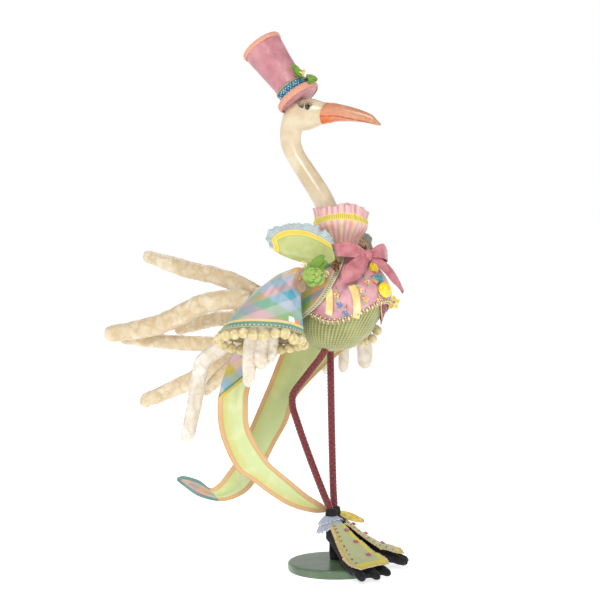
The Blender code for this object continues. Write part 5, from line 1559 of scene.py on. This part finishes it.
def ribbon_rows(path, halves, side, gather=0.0, folds=3, seed=0.0):
    """Rows across a ribbon that follows a path, gathered into folds where it is narrow."""
    rows = []
    most = max(halves)
    for i, (point, _travel, first, second) in enumerate(frames_along(path, side)):
        half = halves[i]
        tight = 1 - half / most
        line = []
        for j in range(17):
            t = -1 + j / 8
            ripple = gather * tight * cos(pi * folds * t) + 0.4 * crease((i * 0.004, t * 0.01, seed), 9)
            line.append(point + (first * half * t + second * ripple) * MM)
        rows.append(line)
    return rows


def make_bow():
    knot = scaled((60.5, -10.5, 436))
    view = Vector(CAMERA_LOOK).normalized()
    loops = (("left", [(58, -14, 437), (52, -27, 441), (44, -38, 444), (37, -49, 443)],
              [4.5, 8.5, 10.5, 8.5], 5.2),
             ("right", [(62, -5, 437), (65, 6, 440), (65, 19, 440), (61, 33, 435)], [4.5, 8.5, 10.5, 8],
              5.2))
    for name, stops, widths, deep in loops:
        centre = [scaled(point) for point in smooth_through(stops, 22)]
        halves = [value[0] for value in smooth_through([(value,) for value in widths], 22)]
        frames = frames_along(centre, (0, 0.2, 1))
        out = Vector((0.75, -0.62, 0.1)).normalized()
        path, width = [], []
        for i, (point, _travel, _first, _second) in enumerate(frames):
            share = i / 21
            path.append(point + out * deep * MM * sin(pi * min(share * 0.62 + 0.02, 1)))
            width.append(halves[i])
        end, travel = frames[-1][0], frames[-1][1]
        for k in range(1, 8):
            turn = pi * k / 8
            reach = deep * sin(pi * 0.64)
            path.append(end + travel * reach * 0.8 * MM * sin(turn) + out * reach * MM * cos(turn))
            width.append(halves[-1] * (1 + 0.08 * sin(turn)))
        for i in range(21, -1, -1):
            share = i / 21
            path.append(frames[i][0] - out * deep * MM * sin(pi * min(share * 0.62 + 0.02, 1)) * 0.9)
            width.append(halves[i] * 0.94)
        rows = ribbon_rows(path, width, (0, 0.2, 1), 1.6, 3, len(name))
        loop = surface(f"bow_loop_{name}", rows, [satin_bow, satin_bow], thickness=0.9)
        dress(loop, "bow_satin", "bow")
    tails = (("left", [(60, -13, 434), (60, -30, 425), (57, -47, 413), (48, -64, 395)],
              [3.5, 10.5, 12.5, 9.5], 1.0),
             ("right", [(61, -6, 433), (68, 3, 427), (76, 14, 416), (82, 26, 401), (84, 41, 384)],
              [4, 6.5, 7.5, 6.5, 4.5],
              -1.0))
    for name, stops, widths, bend in tails:
        path = [scaled(point) for point in smooth_through(stops, 34)]
        halves = [value[0] for value in smooth_through([(value,) for value in widths], 34)]
        across = view.cross(path[-1] - path[0]) if bend > 0 else Vector((-0.3, 0.4, 1))
        rows = ribbon_rows(path, halves, across, 1.2, 3, 4 + len(name))
        shaped = []
        for i, line in enumerate(rows):
            s = i / 33
            middle = line[8]
            trimmed = []
            for j, point in enumerate(line):
                t = -1 + j / 8
                if bend > 0:
                    close = 1 - 0.92 * ease((s - 0.55) / 0.45) ** 1.6
                else:
                    close = 1 - 0.94 * max((s - 0.72) / 0.28, 0.0) * (0.5 - 0.5 * t)
                point = middle + (point - middle) * close
                point = point + Vector((0.7, -0.6, 0)) * (1.3 * sin(s * 5.5) * (1 - abs(t) * 0.5)) * MM
                trimmed.append(point)
            shaped.append(trimmed)
        tail = surface(f"bow_tail_{name}", shaped, [satin_bow, maroon_cloth], thickness=0.9, flip=bend < 0)
        dress(tail, "bow_satin", "bow")
    side, up, out = axes_for((0.8, -0.55, 0.05))
    rows = []
    for i in range(33):
        t = -1 + i / 16
        line = []
        for j in range(48):
            turn = TURN * j / 48
            swell = sqrt(max(1 - (t * 0.96) ** 2, 0.0)) ** 0.7
            groove = 1 - 0.10 * abs(sin(4 * turn + 1.5 * t)) * swell
            line.append(knot + (up * t * 7.5 + side * cos(turn) * 6.0 * swell * groove
                                + out * sin(turn) * 5.6 * swell * groove) * MM)
        rows.append(line)
    tie = surface("bow_knot", rows, [satin_bow], wraps=True, caps=True)
    dress(tie, "bow_satin", "bow")


# Coat, sleeves, fringes

def coat_point(height, bearing, lift=0.0):
    centre, ahead, behind, width = station(COAT_STATIONS, height)
    reach = ahead if cos(bearing) > 0 else behind
    return scaled((centre + (reach + lift) * cos(bearing), (width + lift) * sin(bearing), height))


def coat_hem(bearing):
    from_back = abs(pi - bearing)
    return COAT_HEM + VENT_HEIGHT * ease((VENT_HALF_ANGLE - from_back) / (VENT_HALF_ANGLE * 0.55))


def make_coat():
    rows = []
    for i in range(70):
        s = i / 69
        edge = COAT_EDGE_LOW + (COAT_EDGE_TOP - COAT_EDGE_LOW) * s ** 1.1
        line = []
        for j in range(170):
            bearing = edge + (TURN - 2 * edge) * j / 169
            low = coat_hem(bearing)
            height = lerp(low, COAT_TOP, s)
            point = coat_point(height, bearing, CLOTH)
            hang = ease((430 - height) / 90)
            fold = 1.3 * hang * max(ring_crease(bearing, 0.06, height * 0.0002, 17, 9), 0)
            fold += 0.5 * crease(point, 13, 4)
            point += Vector((cos(bearing), sin(bearing), 0)) * fold * MM
            line.append(point)
        rows.append(line)
    coat = surface("coat_cloth", rows, [coat_finish(), coat_lining], thickness=1.8)
    dress(coat, "coat_plaid", "coat_back")
    collar = []
    for i in range(15):
        s = i / 14
        line = []
        for j in range(120):
            bearing = lerp(COAT_EDGE_TOP + 0.06, TURN - COAT_EDGE_TOP - 0.06, j / 119)
            height = COAT_TOP + 2.2 + 6.5 * sin(pi * s) - 9 * ease((s - 0.4) / 0.6)
            lift = lerp(-2.2, 5.6, s) + 0.8 * crease((bearing * 0.05, s * 0.02, 0.0), 16)
            line.append(coat_point(min(height, 445.9), bearing,
                                   lift) + Vector((0, 0, max(height - 445.9, 0) * MM)))
        collar.append(line)
    band = surface("coat_collar", collar, [tail_outer_finish(), coat_lining], thickness=1.2, flip=True)
    dress(band, "coat_plaid", "coat_back")


def sleeve_axes(side, share):
    turn = SLEEVE_TURN[side] * share
    along = Vector((cos(turn), side * sin(turn), 0))
    level = Vector((sin(turn), -side * cos(turn), 0))
    return along, level * cos(SLEEVE_TILT) + Vector((0, 0, sin(SLEEVE_TILT)))


def make_sleeves():
    for side_name, side in SIDES:
        stops = [(x, y * side, z) for x, y, z in SLEEVE_PATH]
        count, sides = 78, 136
        path = [scaled(point) for point in smooth_through(stops, count)]
        radii = smooth_through(SLEEVE_RADII, count)
        rows = []
        for i in range(12):
            cap = sin(pi / 2 * i / 12)
            rows.append((path[0] + (path[0] - path[1]).normalized() * 4.5 * MM * cos(pi / 2 * i / 12),
                         (radii[0][0] * max(cap, 0.03), radii[0][1] * max(cap, 0.03)), 0.0))
        rows += [(path[i], radii[i], i / (count - 1)) for i in range(count)]
        rings = []
        for centre, (length, width), share in rows:
            along, outward = sleeve_axes(side, share)
            ring = []
            for j in range(sides):
                turn = TURN * j / sides
                way = swing(along, outward, turn)
                lobes = ring_crease(turn, 0.05, share * 0.012, 19, 3 + side)
                ripples = ring_crease(turn, 0.05, share * 0.03, 9, 9 + side)
                fold = (2.4 * lobes + 1.0 * ripples) * ease(share / 0.25)
                fold *= 1 - 0.45 * ease((share - 0.8) / 0.2)
                sink = 1.6 * ease((share - 0.05) / 0.2)
                ring.append(centre + along * (length - sink) * MM * cos(turn)
                            + outward * (width - sink) * MM * sin(turn) + way * fold * MM)
            rings.append(ring)
        around = sum(travelled([*ring, ring[0]])[-1] for ring in rings) / len(rings)
        finish = sleeve_finish(around)
        sleeve = surface(f"sleeve_cloth_{side_name}", rings, [finish, sleeve_lining], wraps=True,
                         thickness=1.5,
                         flip=side < 0)
        dress(sleeve, "coat_plaid", f"sleeve_{side_name}")
        along, outward = sleeve_axes(side, 1.0)
        down = along.cross(outward) * side
        ring = [*rings[-1], rings[-1][0]]
        lengths = travelled(ring)
        tape = Pile()
        tape_path = [point + down * 0.9 * MM for point in ring]
        tape.thread(tape_path, 1.1, 0, 6)
        balls = Pile()
        chance = random.Random(3 + side)
        for ball in range(POMPOM_COUNT):
            goal = (ball + 0.5) * lengths[-1] / POMPOM_COUNT
            spot = max(k for k in range(len(ring) - 1) if lengths[k] <= goal)
            share = (goal - lengths[spot]) / (lengths[spot + 1] - lengths[spot])
            root = ring[spot].lerp(ring[spot + 1], share)
            sway = Vector((chance.uniform(-1, 1), chance.uniform(-1, 1), 0)) * 0.9
            centre = root + (down * chance.uniform(*POMPOM_HANG) + sway) * MM
            radius = chance.uniform(*POMPOM_RADII)
            tape.thread([root + down * 0.5 * MM, root.lerp(centre, 0.5), centre], 0.9, 0, 6)
            balls.ball(centre, radius, 0, 3, 0.07)
            for _hair in range(POMPOM_HAIRS):
                way, bend = (Vector([chance.gauss(0, 1) for _axis in range(3)]) for _vector in range(2))
                way.normalize()
                foot = centre + way * radius * 0.93 * MM
                cross, other, _out = axes_for(way)
                end = foot + (way + bend * 0.35).normalized() * chance.uniform(1.0, 2.2) * MM
                balls.add([foot + cross * 0.24 * MM, foot - cross * 0.12 * MM + other * 0.2 * MM,
                           foot - cross * 0.12 * MM - other * 0.2 * MM, end],
                          [(0, 1, 3), (1, 2, 3), (2, 0, 3), (2, 1, 0)], 0)
        dress(tape.make(f"fringe_tape_{side_name}", [tape_cream]), "ball_fringe", f"ball_fringe_{side_name}")
        dress(balls.make(f"pompoms_{side_name}", [pompom_yarn]), "ball_fringe", f"ball_fringe_{side_name}")


# Stuffed feathers

def stuffed_finger(name, stops, radii, finish, slot, node, seed, pucker=0.8, flat=0.12):
    """A sewn finger of satin, stuffed, with a seam down both sides and puckers across them."""
    root, middle, tip = radii
    count, sides = 150, 40
    raw = [scaled(point) for point in smooth_through(stops, 400)]
    gone = travelled(raw, MM)
    total = gone[-1]
    path, reaches = [], []
    spot = 0
    for i in range(count):
        share = i / (count - 1)
        goal = total * (1 - (1 - share) ** 1.25)
        while spot < len(gone) - 2 and gone[spot + 1] < goal:
            spot += 1
        part = (goal - gone[spot]) / max(gone[spot + 1] - gone[spot], 1e-9)
        path.append(raw[spot].lerp(raw[spot + 1], min(part, 1.0)))
        along = goal / total
        full = smooth_through([(root,), (middle,), (middle,), (tip,)], 101)[round(along * 100)][0]
        left = total - goal
        close = sqrt(max(1 - (1 - min(left / (tip * 1.35), 1.0)) ** 2, 0.0))
        reaches.append((max(full * close, 0.15), goal))

    def reach(i, turn):
        full, goal = reaches[i]
        seam = min(abs(sin(turn)), 1.0)
        ridge = exp(-(seam / 0.16) ** 2)
        across = abs(crease((goal * MM, int(turn / pi) * 0.02, seed), 7, seed))
        dent = pucker * 0.75 * across * exp(-(seam / 0.55) ** 2)
        lump = pucker * 0.55 * crease((goal * MM, cos(turn) * 0.008, sin(turn) * 0.008), 15, seed + 3)
        shape = 1 + flat * cos(2 * turn)
        return max((full * shape - dent - 0.5 * ridge + lump) * MM, 0.1 * MM)

    piece = surface(name, tube_rows(path, reach, sides, (0.2, 0.1, 1)), [finish], wraps=True, caps=True,
                    flip=True)
    dress(piece, slot, node)
    return piece


def make_feathers():
    for side_name, fingers in WINGS.items():
        for number, (stops, turn) in enumerate(zip(fingers, WING_ORDER[side_name])):
            stuffed_finger(f"wing_feather_{side_name}_{number + 1}", stops, WING_RADII[turn], satin_wing,
                           "feather_satin", f"wing_feathers_{side_name}", number + len(side_name), 1.3, 0.24)
    for number, (stops, radii) in enumerate(TAIL_FEATHERS):
        finish = satin_wing if number == 5 else satin_feather
        stuffed_finger(f"tail_feather_satin_{number + 1}", stops, radii, finish, "feather_satin",
                       f"tail_feather_{number + 1}", 20 + number, 1.7, 0.3 if number == 5 else 0.2)
    rows = []
    for along, height, tall, wide in smooth_through(HUB_STATIONS, 64):
        line = []
        for j in range(120):
            turn = TURN * j / 120
            facet = 1.6 * abs(ring_crease(turn, 0.04, along * 0.0006, 16, 6))
            gather = 0.6 * cos(16 * turn + along * 0.09) * ease((along + 60) / -15)
            reach_y, reach_z = wide + gather - facet, tall + gather - facet
            line.append(scaled((along, reach_y * cos(turn), height + reach_z * sin(turn))))
        rows.append(line)
    hub = surface("tail_hub_satin", rows, [satin_hub], wraps=True, caps=True, flip=True)
    dress(hub, "feather_satin", "tail_hub")


def make_tails():
    outer = tail_outer_finish()
    # The first colour of each lining is a painted-highlight tone, the second the cloth's olive tone.
    details = {"right": (rgb(208, 220, 156), rgb(214, 206, 110), 106.0, 0.0),
               "left": (rgb(206, 222, 156), rgb(206, 210, 118), 6.0, 62.0)}
    for side_name, edges in TAILS.items():
        finish = tail_lining_finish(f"tail_lining_{side_name}", *details[side_name])
        stops = [(*left, *right) for left, right in edges]
        rows = []
        count = 140
        across = [scaled(row[:3]) for row in smooth_through(stops, count)]
        other = [scaled(row[3:]) for row in smooth_through(stops, count)]
        for i in range(count):
            left, right = across[i], other[i]
            ahead = (across[min(i + 1, count - 1)] - across[max(i - 1, 0)]
                     + other[min(i + 1, count - 1)] - other[max(i - 1, 0)]).normalized()
            out = ahead.cross(right - left).normalized()
            s = i / (count - 1)
            width = (right - left).length / MM
            line = []
            for j in range(41):
                t = j / 40
                cup = -min(width * 0.05, 2.2) * sin(pi * t)
                fold = 0.9 * crease((t * 0.02 + 0.03, s * 0.06, 0.0), 9, len(side_name))
                fold += 1.8 * crease((t * 0.03, s * 0.03, 0.2), 8, 3) * sin(pi * t)
                line.append(left.lerp(right, t) + out * (cup + fold * min(width / 20, 1.0)) * MM)
            rows.append(line)
        tail = surface(f"coat_tail_cloth_{side_name}", rows, [finish, outer], thickness=1.3, flip=True)
        dress(tail, "tail_satin", f"coat_tail_{side_name}")


# Collar petals

def petal_surface(side, rows_count, columns):
    root, tip, crest = (scaled((x, y * side, z)) for x, y, z in (PETAL_ROOT, PETAL_TIP, PETAL_CREST))
    along = tip - root
    rise = crest - (root + along * 0.66)
    outward = along.cross(rise).normalized() * -side
    rows = []
    for i in range(rows_count):
        s = i / (rows_count - 1)
        spread = max(sin(pi * min(0.12 + 0.83 * s, 1.0)), 0.04) ** 0.6
        line = []
        for j in range(columns):
            t = -1 + 2 * j / (columns - 1)
            offset = rise * t * spread if t > 0 else scaled((0, 0, PETAL_SAG)) * t * spread
            cup = PETAL_CUP * (1 - t * t) * sin(pi * s)
            wrinkle = 0.8 * crease((s * 0.05, t * 0.02, side * 0.1), 8, 5)
            line.append(root + along * s + offset - outward * (cup + wrinkle - 1.2) * MM)
        rows.append(line)
    return rows, outward


def make_petals():
    lining = petal_lining_finish()
    outside = coat_finish()
    lace = lace_finish("collar_aqua_lace", rgb(196, 212, 212), rgb(116, 146, 152), rgb(176, 204, 206), 2.8)
    for side_name, side in SIDES:
        rows, outward = petal_surface(side, 60, 41)
        petal = surface(f"collar_petal_cloth_{side_name}", rows, [lining, outside], thickness=1.4,
                        flip=side < 0)
        dress(petal, "collar_satin", f"collar_petal_{side_name}")
        edge = [row[-1] for row in rows] + rows[-1][-2:5:-1]
        count = 260
        lengths = travelled(edge)
        centre = rows[30][20]
        frill = []
        for level in range(13):
            s = level / 12
            line = []
            for k in range(count):
                goal = lengths[-1] * k / (count - 1)
                spot = max(m for m in range(len(edge) - 1) if lengths[m] <= goal + 1e-12)
                part = (goal - lengths[spot]) / max(lengths[spot + 1] - lengths[spot], 1e-9)
                point = edge[spot].lerp(edge[spot + 1], min(part, 1.0))
                away = point - centre
                away = (away - outward * away.dot(outward)).normalized()
                taper = ease(k / 30) * ease((count - 1 - k) / 30)
                ripple = 2.2 * crease((goal, s * 0.002, side * 1.0), 5) + 0.35 * sin(goal / MM * 0.95)
                ragged = 1 + 0.16 * ripple * s + 0.12 * s * crease((goal, 0.3, 0.1), 5)
                line.append(point + away * lerp(-1.4, 10.5, s) * ragged * lerp(0.45, 1, taper) * MM
                            + outward * (2.6 * ripple * s - 0.6 - 1.5 * s) * MM)
            frill.append(line)
        lace_strip = surface(f"collar_lace_{side_name}", frill, [lace], thickness=0.6, flip=side > 0)
        dress(lace_strip, "ankle_lace", f"collar_petal_{side_name}")


# Chest dressings and posy

def make_chest_flowers():
    lift = WAISTCOAT_LIFT + CLOTH + 0.4
    spot, beside, up, out = on_chest(*ROSE_AT, lift)
    rose = Pile()
    rose.ball(spot + out * 1.8 * MM, (5.4, 5.4, 5.4), 0, 2)
    for k in range(26):
        turn = k * GOLDEN_ANGLE
        level = k / 26
        reach = lerp(1.2, 5.0, level)
        way = beside * cos(turn) + up * sin(turn) * 1.25
        foot = spot + (way * reach * 0.5 + out * lerp(4.0, 1.2, level)) * MM
        rose.petal(foot, way * lerp(0.5, 1.0, level) + out * lerp(1.6, 0.7, level), -way + out * 0.4,
                   lerp(4.0, 6.2, level),
                   lerp(4.6, 7.0, level), 0, -0.22, 0.5, 7, 6)
    dress(rose.make("rose_petals", [yellow_petal]), "yellow_cloth", "yellow_rose")
    tie = Pile()
    spot, beside, up, out = on_chest(*RIBBON_AT, lift)
    for aim, length, width, kind in ((0.1, 10.5, 9, 0), (3.3, 9.5, 8, 1), (-0.6, 9, 7, 0),
                                     (-2.2, 8.5, 6.5, 1),
                                     (2.6, 8, 7, 0)):
        way = swing(beside, up, aim)
        tie.petal(spot + out * 1.5 * MM, way, out, length, width, kind, 0.2, 0.9, 10, 8)
    tie.ball(spot + out * 2.6 * MM, (2.6, 3.0, 3.4), 0, 3, 0.12)
    dress(tie.make("ribbon_tie", [teal_satin, peach_satin]), "teal_ribbon", "ribbon_knot")
    spot, beside, up, out = on_chest(*BUTTON_AT, lift)
    profile = [(0.2, -0.4), (6, -0.4), (9.2, 0.2), (10.6, 1.9), (11.0, 3.6), (10.4, 5.6), (8.8, 7.4),
               (6.4, 8.6),
               (3.4, 9.2), (1.6, 9.4), (0.1, 9.4)]
    rows = [[spot + swing(beside, up, TURN * j / 72) * radius * MM + out * rise * MM
             for j in range(72)] for radius, rise in smooth_through(profile, 56)]
    gloss = plain("button_yellow_gloss", rgb(252, 232, 34), rgb(236, 204, 20), 0.12, 8, 0.05,
                  {"Coat Weight": 0.8})
    button = surface("button_domed", rows, [gloss], wraps=True)
    dress(button, "yellow_cloth", "yellow_button")
    spot, beside, up, out = on_chest(*STAR_AT, WAISTCOAT_LIFT + CLOTH + 3.4)
    out = Vector((0.86, -0.5, 0.1)).normalized()
    beside = Vector((0, 0, 1)).cross(out).normalized()
    up = out.cross(beside)
    spot += out * 2.0 * MM
    star = Pile()
    for tier, (length, width, start) in enumerate(((8.8, 6.0, 0.3), (6.0, 4.2, 0.9))):
        for k in range(5):
            turn = TURN * k / 5 + start
            way = swing(beside, up, turn)
            star.petal(spot + (way * 0.6 + out * (0.6 + tier)) * MM, way, out, length, width, tier, 0.12,
                       0.6, 9, 7)
    star.ball(spot + out * 2.4 * MM, 2.0, 2, 2, 0.1)
    dress(star.make("star_petals", [yellow_petal, cream_petal, gold_bead]), "yellow_cloth", "star_flower")
    rows = []
    low, high = radians(-9), radians(44)
    for i in range(30):
        s = i / 29
        line = []
        for j in range(31):
            corner = lerp(low, high, j / 30)
            top = hem_at(corner) - 5.6
            height = lerp(top, 340.5, s)
            bearing = corner + (radians(24) - corner) * 0.93 * s ** 1.35
            rise = lerp(2.4, 8.2, s ** 1.5) + 0.6 * crease((s * 0.03, j * 0.002, 0.0), 7)
            line.append(body_point(height, bearing, rise))
        rows.append(line)
    shade = cloth_shade("flap_maroon_cloth", 0.6)
    u, _v = shade.spread("cloth")
    rest_u, rest_v = shade.spread("rest")
    colour = shade.mix(shade.cloud(7, 3, 0.35, 0.7), rgb(116, 26, 46), rgb(156, 48, 66))
    for edge in (u, rest_u, rest_v):
        colour = shade.stripe(colour, edge, 0.0, 2.4, rgb(214, 178, 110))
    shade.bump(shade.weave(1.0), 0.25)
    flap = surface("flap_cloth", rows, [shade.colour(colour)], thickness=0.9, flip=True)
    dress(flap, "flap_maroon", "waistcoat_flap")


def make_posy():
    centre = scaled((15.5, -72, 410))
    florets = Pile()
    florets.ball(centre, (8.5, 6.0, 9), 0, 3)
    side, up, out = axes_for((0.5, -0.85, 0.12))
    for tier, (total, reach, length, width, lift, start) in enumerate(((6, 5.4, 11.0, 15.0, 2.6, 0.2),
                                                                       (4, 2.6, 9.0, 11.5, 5.4, 0.7),
                                                                       (3, 1.0, 5.5, 6.5, 7.0, 0.1))):
        for k in range(total):
            angle = TURN * k / total + start
            aim = swing(side, up, angle)
            lean = rng.uniform(-0.15, 0.2) + 0.2 * tier
            florets.petal(centre + (aim * reach + out * lift) * MM, aim + out * lean, out, length, width, 0,
                          0.14, 0.5,
                          12, 11)
    for angle in (0.4, 2.6, 4.4):
        spot = centre + (side * cos(angle) * 3.0 + up * sin(angle) * 3.0 + out * 9.0) * MM
        florets.ball(spot, 0.9, 1, 1)
    dress(florets.make("hydrangea_florets", [lime_petal, cream_petal]), "petal_green", "hydrangea")
    leaf = Pile()
    facing = Vector((0.57, -0.82, 0.3))
    for base, end, width in (((14, -77, 420), (31, -71, 436), 13), ((18, -76, 420), (35, -69, 427), 11)):
        root, tip = scaled(base), scaled(end)
        leaf.petal(root, tip - root, facing, (tip - root).length / MM, width, 0, 0.3, 0.7, 14, 11)
    dress(leaf.make("posy_leaves", [leaf_hat]), "leaf_green", "posy_leaf")
    stamens = Pile()
    for base, count in (((5, -80, 423), 9), ((31, -66, 412), 8)):
        for k in range(count):
            turn = k * 2.4
            way = (Vector((0.25, -0.7, 0.3)) + Vector((cos(turn), 0.2, sin(turn))) * 0.7).normalized()
            start = scaled(base)
            length = rng.uniform(4.0, 7.0)
            path = [start + way * length * s * MM / 3 for s in range(4)]
            stamens.thread(path, 0.35, 0, 5, (0.2, 0.3, 0.9))
            stamens.ball(path[-1], 1.1, 0, 2)
    dress(stamens.make("posy_stamens", [cream_petal]), "yellow_cloth")
    nut = scaled((1.5, -82, 396))
    axis = Vector((-0.25, -0.1, -1)).normalized()
    side = axis.cross(Vector((0, 1, 0))).normalized()
    other = axis.cross(side)
    rows = []
    for i in range(40):
        turn_down = pi * i / 39
        swell = sin(turn_down) ** 0.85
        along = -cos(turn_down) * 9.6 + (1.4 if i > 36 else 0) * (i - 36) / 3
        line = []
        for j in range(48):
            turn = TURN * j / 48
            ridge = 1 - 0.05 * abs(sin(3 * turn)) ** 0.4
            radius = max(7.3 * swell * ridge, 0.15)
            line.append(nut + (axis * along + swing(side, other, turn) * radius) * MM)
        rows.append(line)
    shell = surface("nut_shell", rows, [brown_shell], wraps=True, caps=True)
    dress(shell, "nut_brown", "nut")
    dried = Pile()
    heart = scaled((41, -58, 423))
    dried.ball(heart, (4.5, 3.4, 4.5), 0, 2, 0.3)
    for k in range(34):
        turn = k * GOLDEN_ANGLE
        level = k / 34
        way = Vector((cos(turn), 0.25 * sin(turn * 3), sin(turn)))
        out = Vector((0.5, -0.85, 0.1))
        dried.petal(heart + way * lerp(1, 3, level) * MM + out * lerp(3.0, 0.2, level) * MM,
                    way * lerp(0.6, 1, level)
                    + out * lerp(1.2, 0.25, level), out, lerp(4, 6.2, level), lerp(2.8, 4.4,
                                                                                   level), k % 3 == 0, 0.2,
                    0.4, 6, 5)
    dress(dried.make("dried_petals", [brown_petal, brown_shell]), "nut_brown", "dried_flower")


# Floor, light and camera

def make_studio():
    floor_mesh = bpy.data.meshes.new("floor")
    corners = [(x * FLOOR_REACH, y * FLOOR_REACH, 0) for x, y in ((-1, -1), (1, -1), (1, 1), (-1, 1))]
    floor_mesh.from_pydata(corners, [], [(0, 1, 2, 3)])
    floor = bpy.data.objects.new("floor", floor_mesh)
    bpy.context.scene.collection.objects.link(floor)
    pale = Shade("floor_pale", 0.9, {"Emission Color": (1, 1, 1, 1), "Emission Strength": 0.72})
    pale.colour(pale.mix(pale.noise(600, 2), (0.86, 0.86, 0.86, 1), (0.9, 0.9, 0.9, 1)))
    floor_mesh.materials.append(pale.made)
    world = bpy.data.worlds.new("studio")
    bpy.context.scene.world = world
    world.use_nodes = True
    sky = world.node_tree
    ways = sky.nodes.new("ShaderNodeTexCoord")
    split = sky.nodes.new("ShaderNodeSeparateXYZ")
    fade = sky.nodes.new("ShaderNodeValToRGB")
    fade.color_ramp.elements[0].position = 0.15
    fade.color_ramp.elements[0].color = (1, 1, 1, 1)
    fade.color_ramp.elements[1].position = 0.36
    fade.color_ramp.elements[1].color = (0.3, 0.3, 0.31, 1)
    sky.links.new(ways.outputs["Generated"], split.inputs[0])
    sky.links.new(split.outputs[2], fade.inputs[0])
    sky.links.new(fade.outputs[0], sky.nodes["Background"].inputs["Color"])
    sky.nodes["Background"].inputs["Strength"].default_value = 1.0
    for name, place, size, power in LIGHTS:
        data = bpy.data.lights.new(name, "AREA")
        data.size = size
        data.energy = power
        lamp = bpy.data.objects.new(name, data)
        lamp.location = place
        lamp.rotation_euler = (Vector(LIGHTS_AIM) - Vector(place)).to_track_quat("-Z", "Y").to_euler()
        bpy.context.scene.collection.objects.link(lamp)
    data = bpy.data.cameras.new("camera")
    data.lens = CAMERA_LENS
    data.sensor_width = 36.0
    data.clip_start = 0.05
    camera = bpy.data.objects.new("camera", data)
    camera.location = CAMERA_PLACE
    camera.rotation_euler = Vector(CAMERA_LOOK).to_track_quat("-Z", "Y").to_euler()
    bpy.context.scene.collection.objects.link(camera)
    bpy.context.scene.camera = camera
    bpy.context.scene.view_settings.view_transform = "Standard"


for make in (make_disc, make_legs, make_shoes, make_spats, make_ankle_frills, make_body, make_waistcoat,
             make_head, make_hat, make_ruff, make_bow, make_coat, make_sleeves, make_feathers, make_tails,
             make_petals, make_chest_flowers, make_posy, make_studio):
    make()
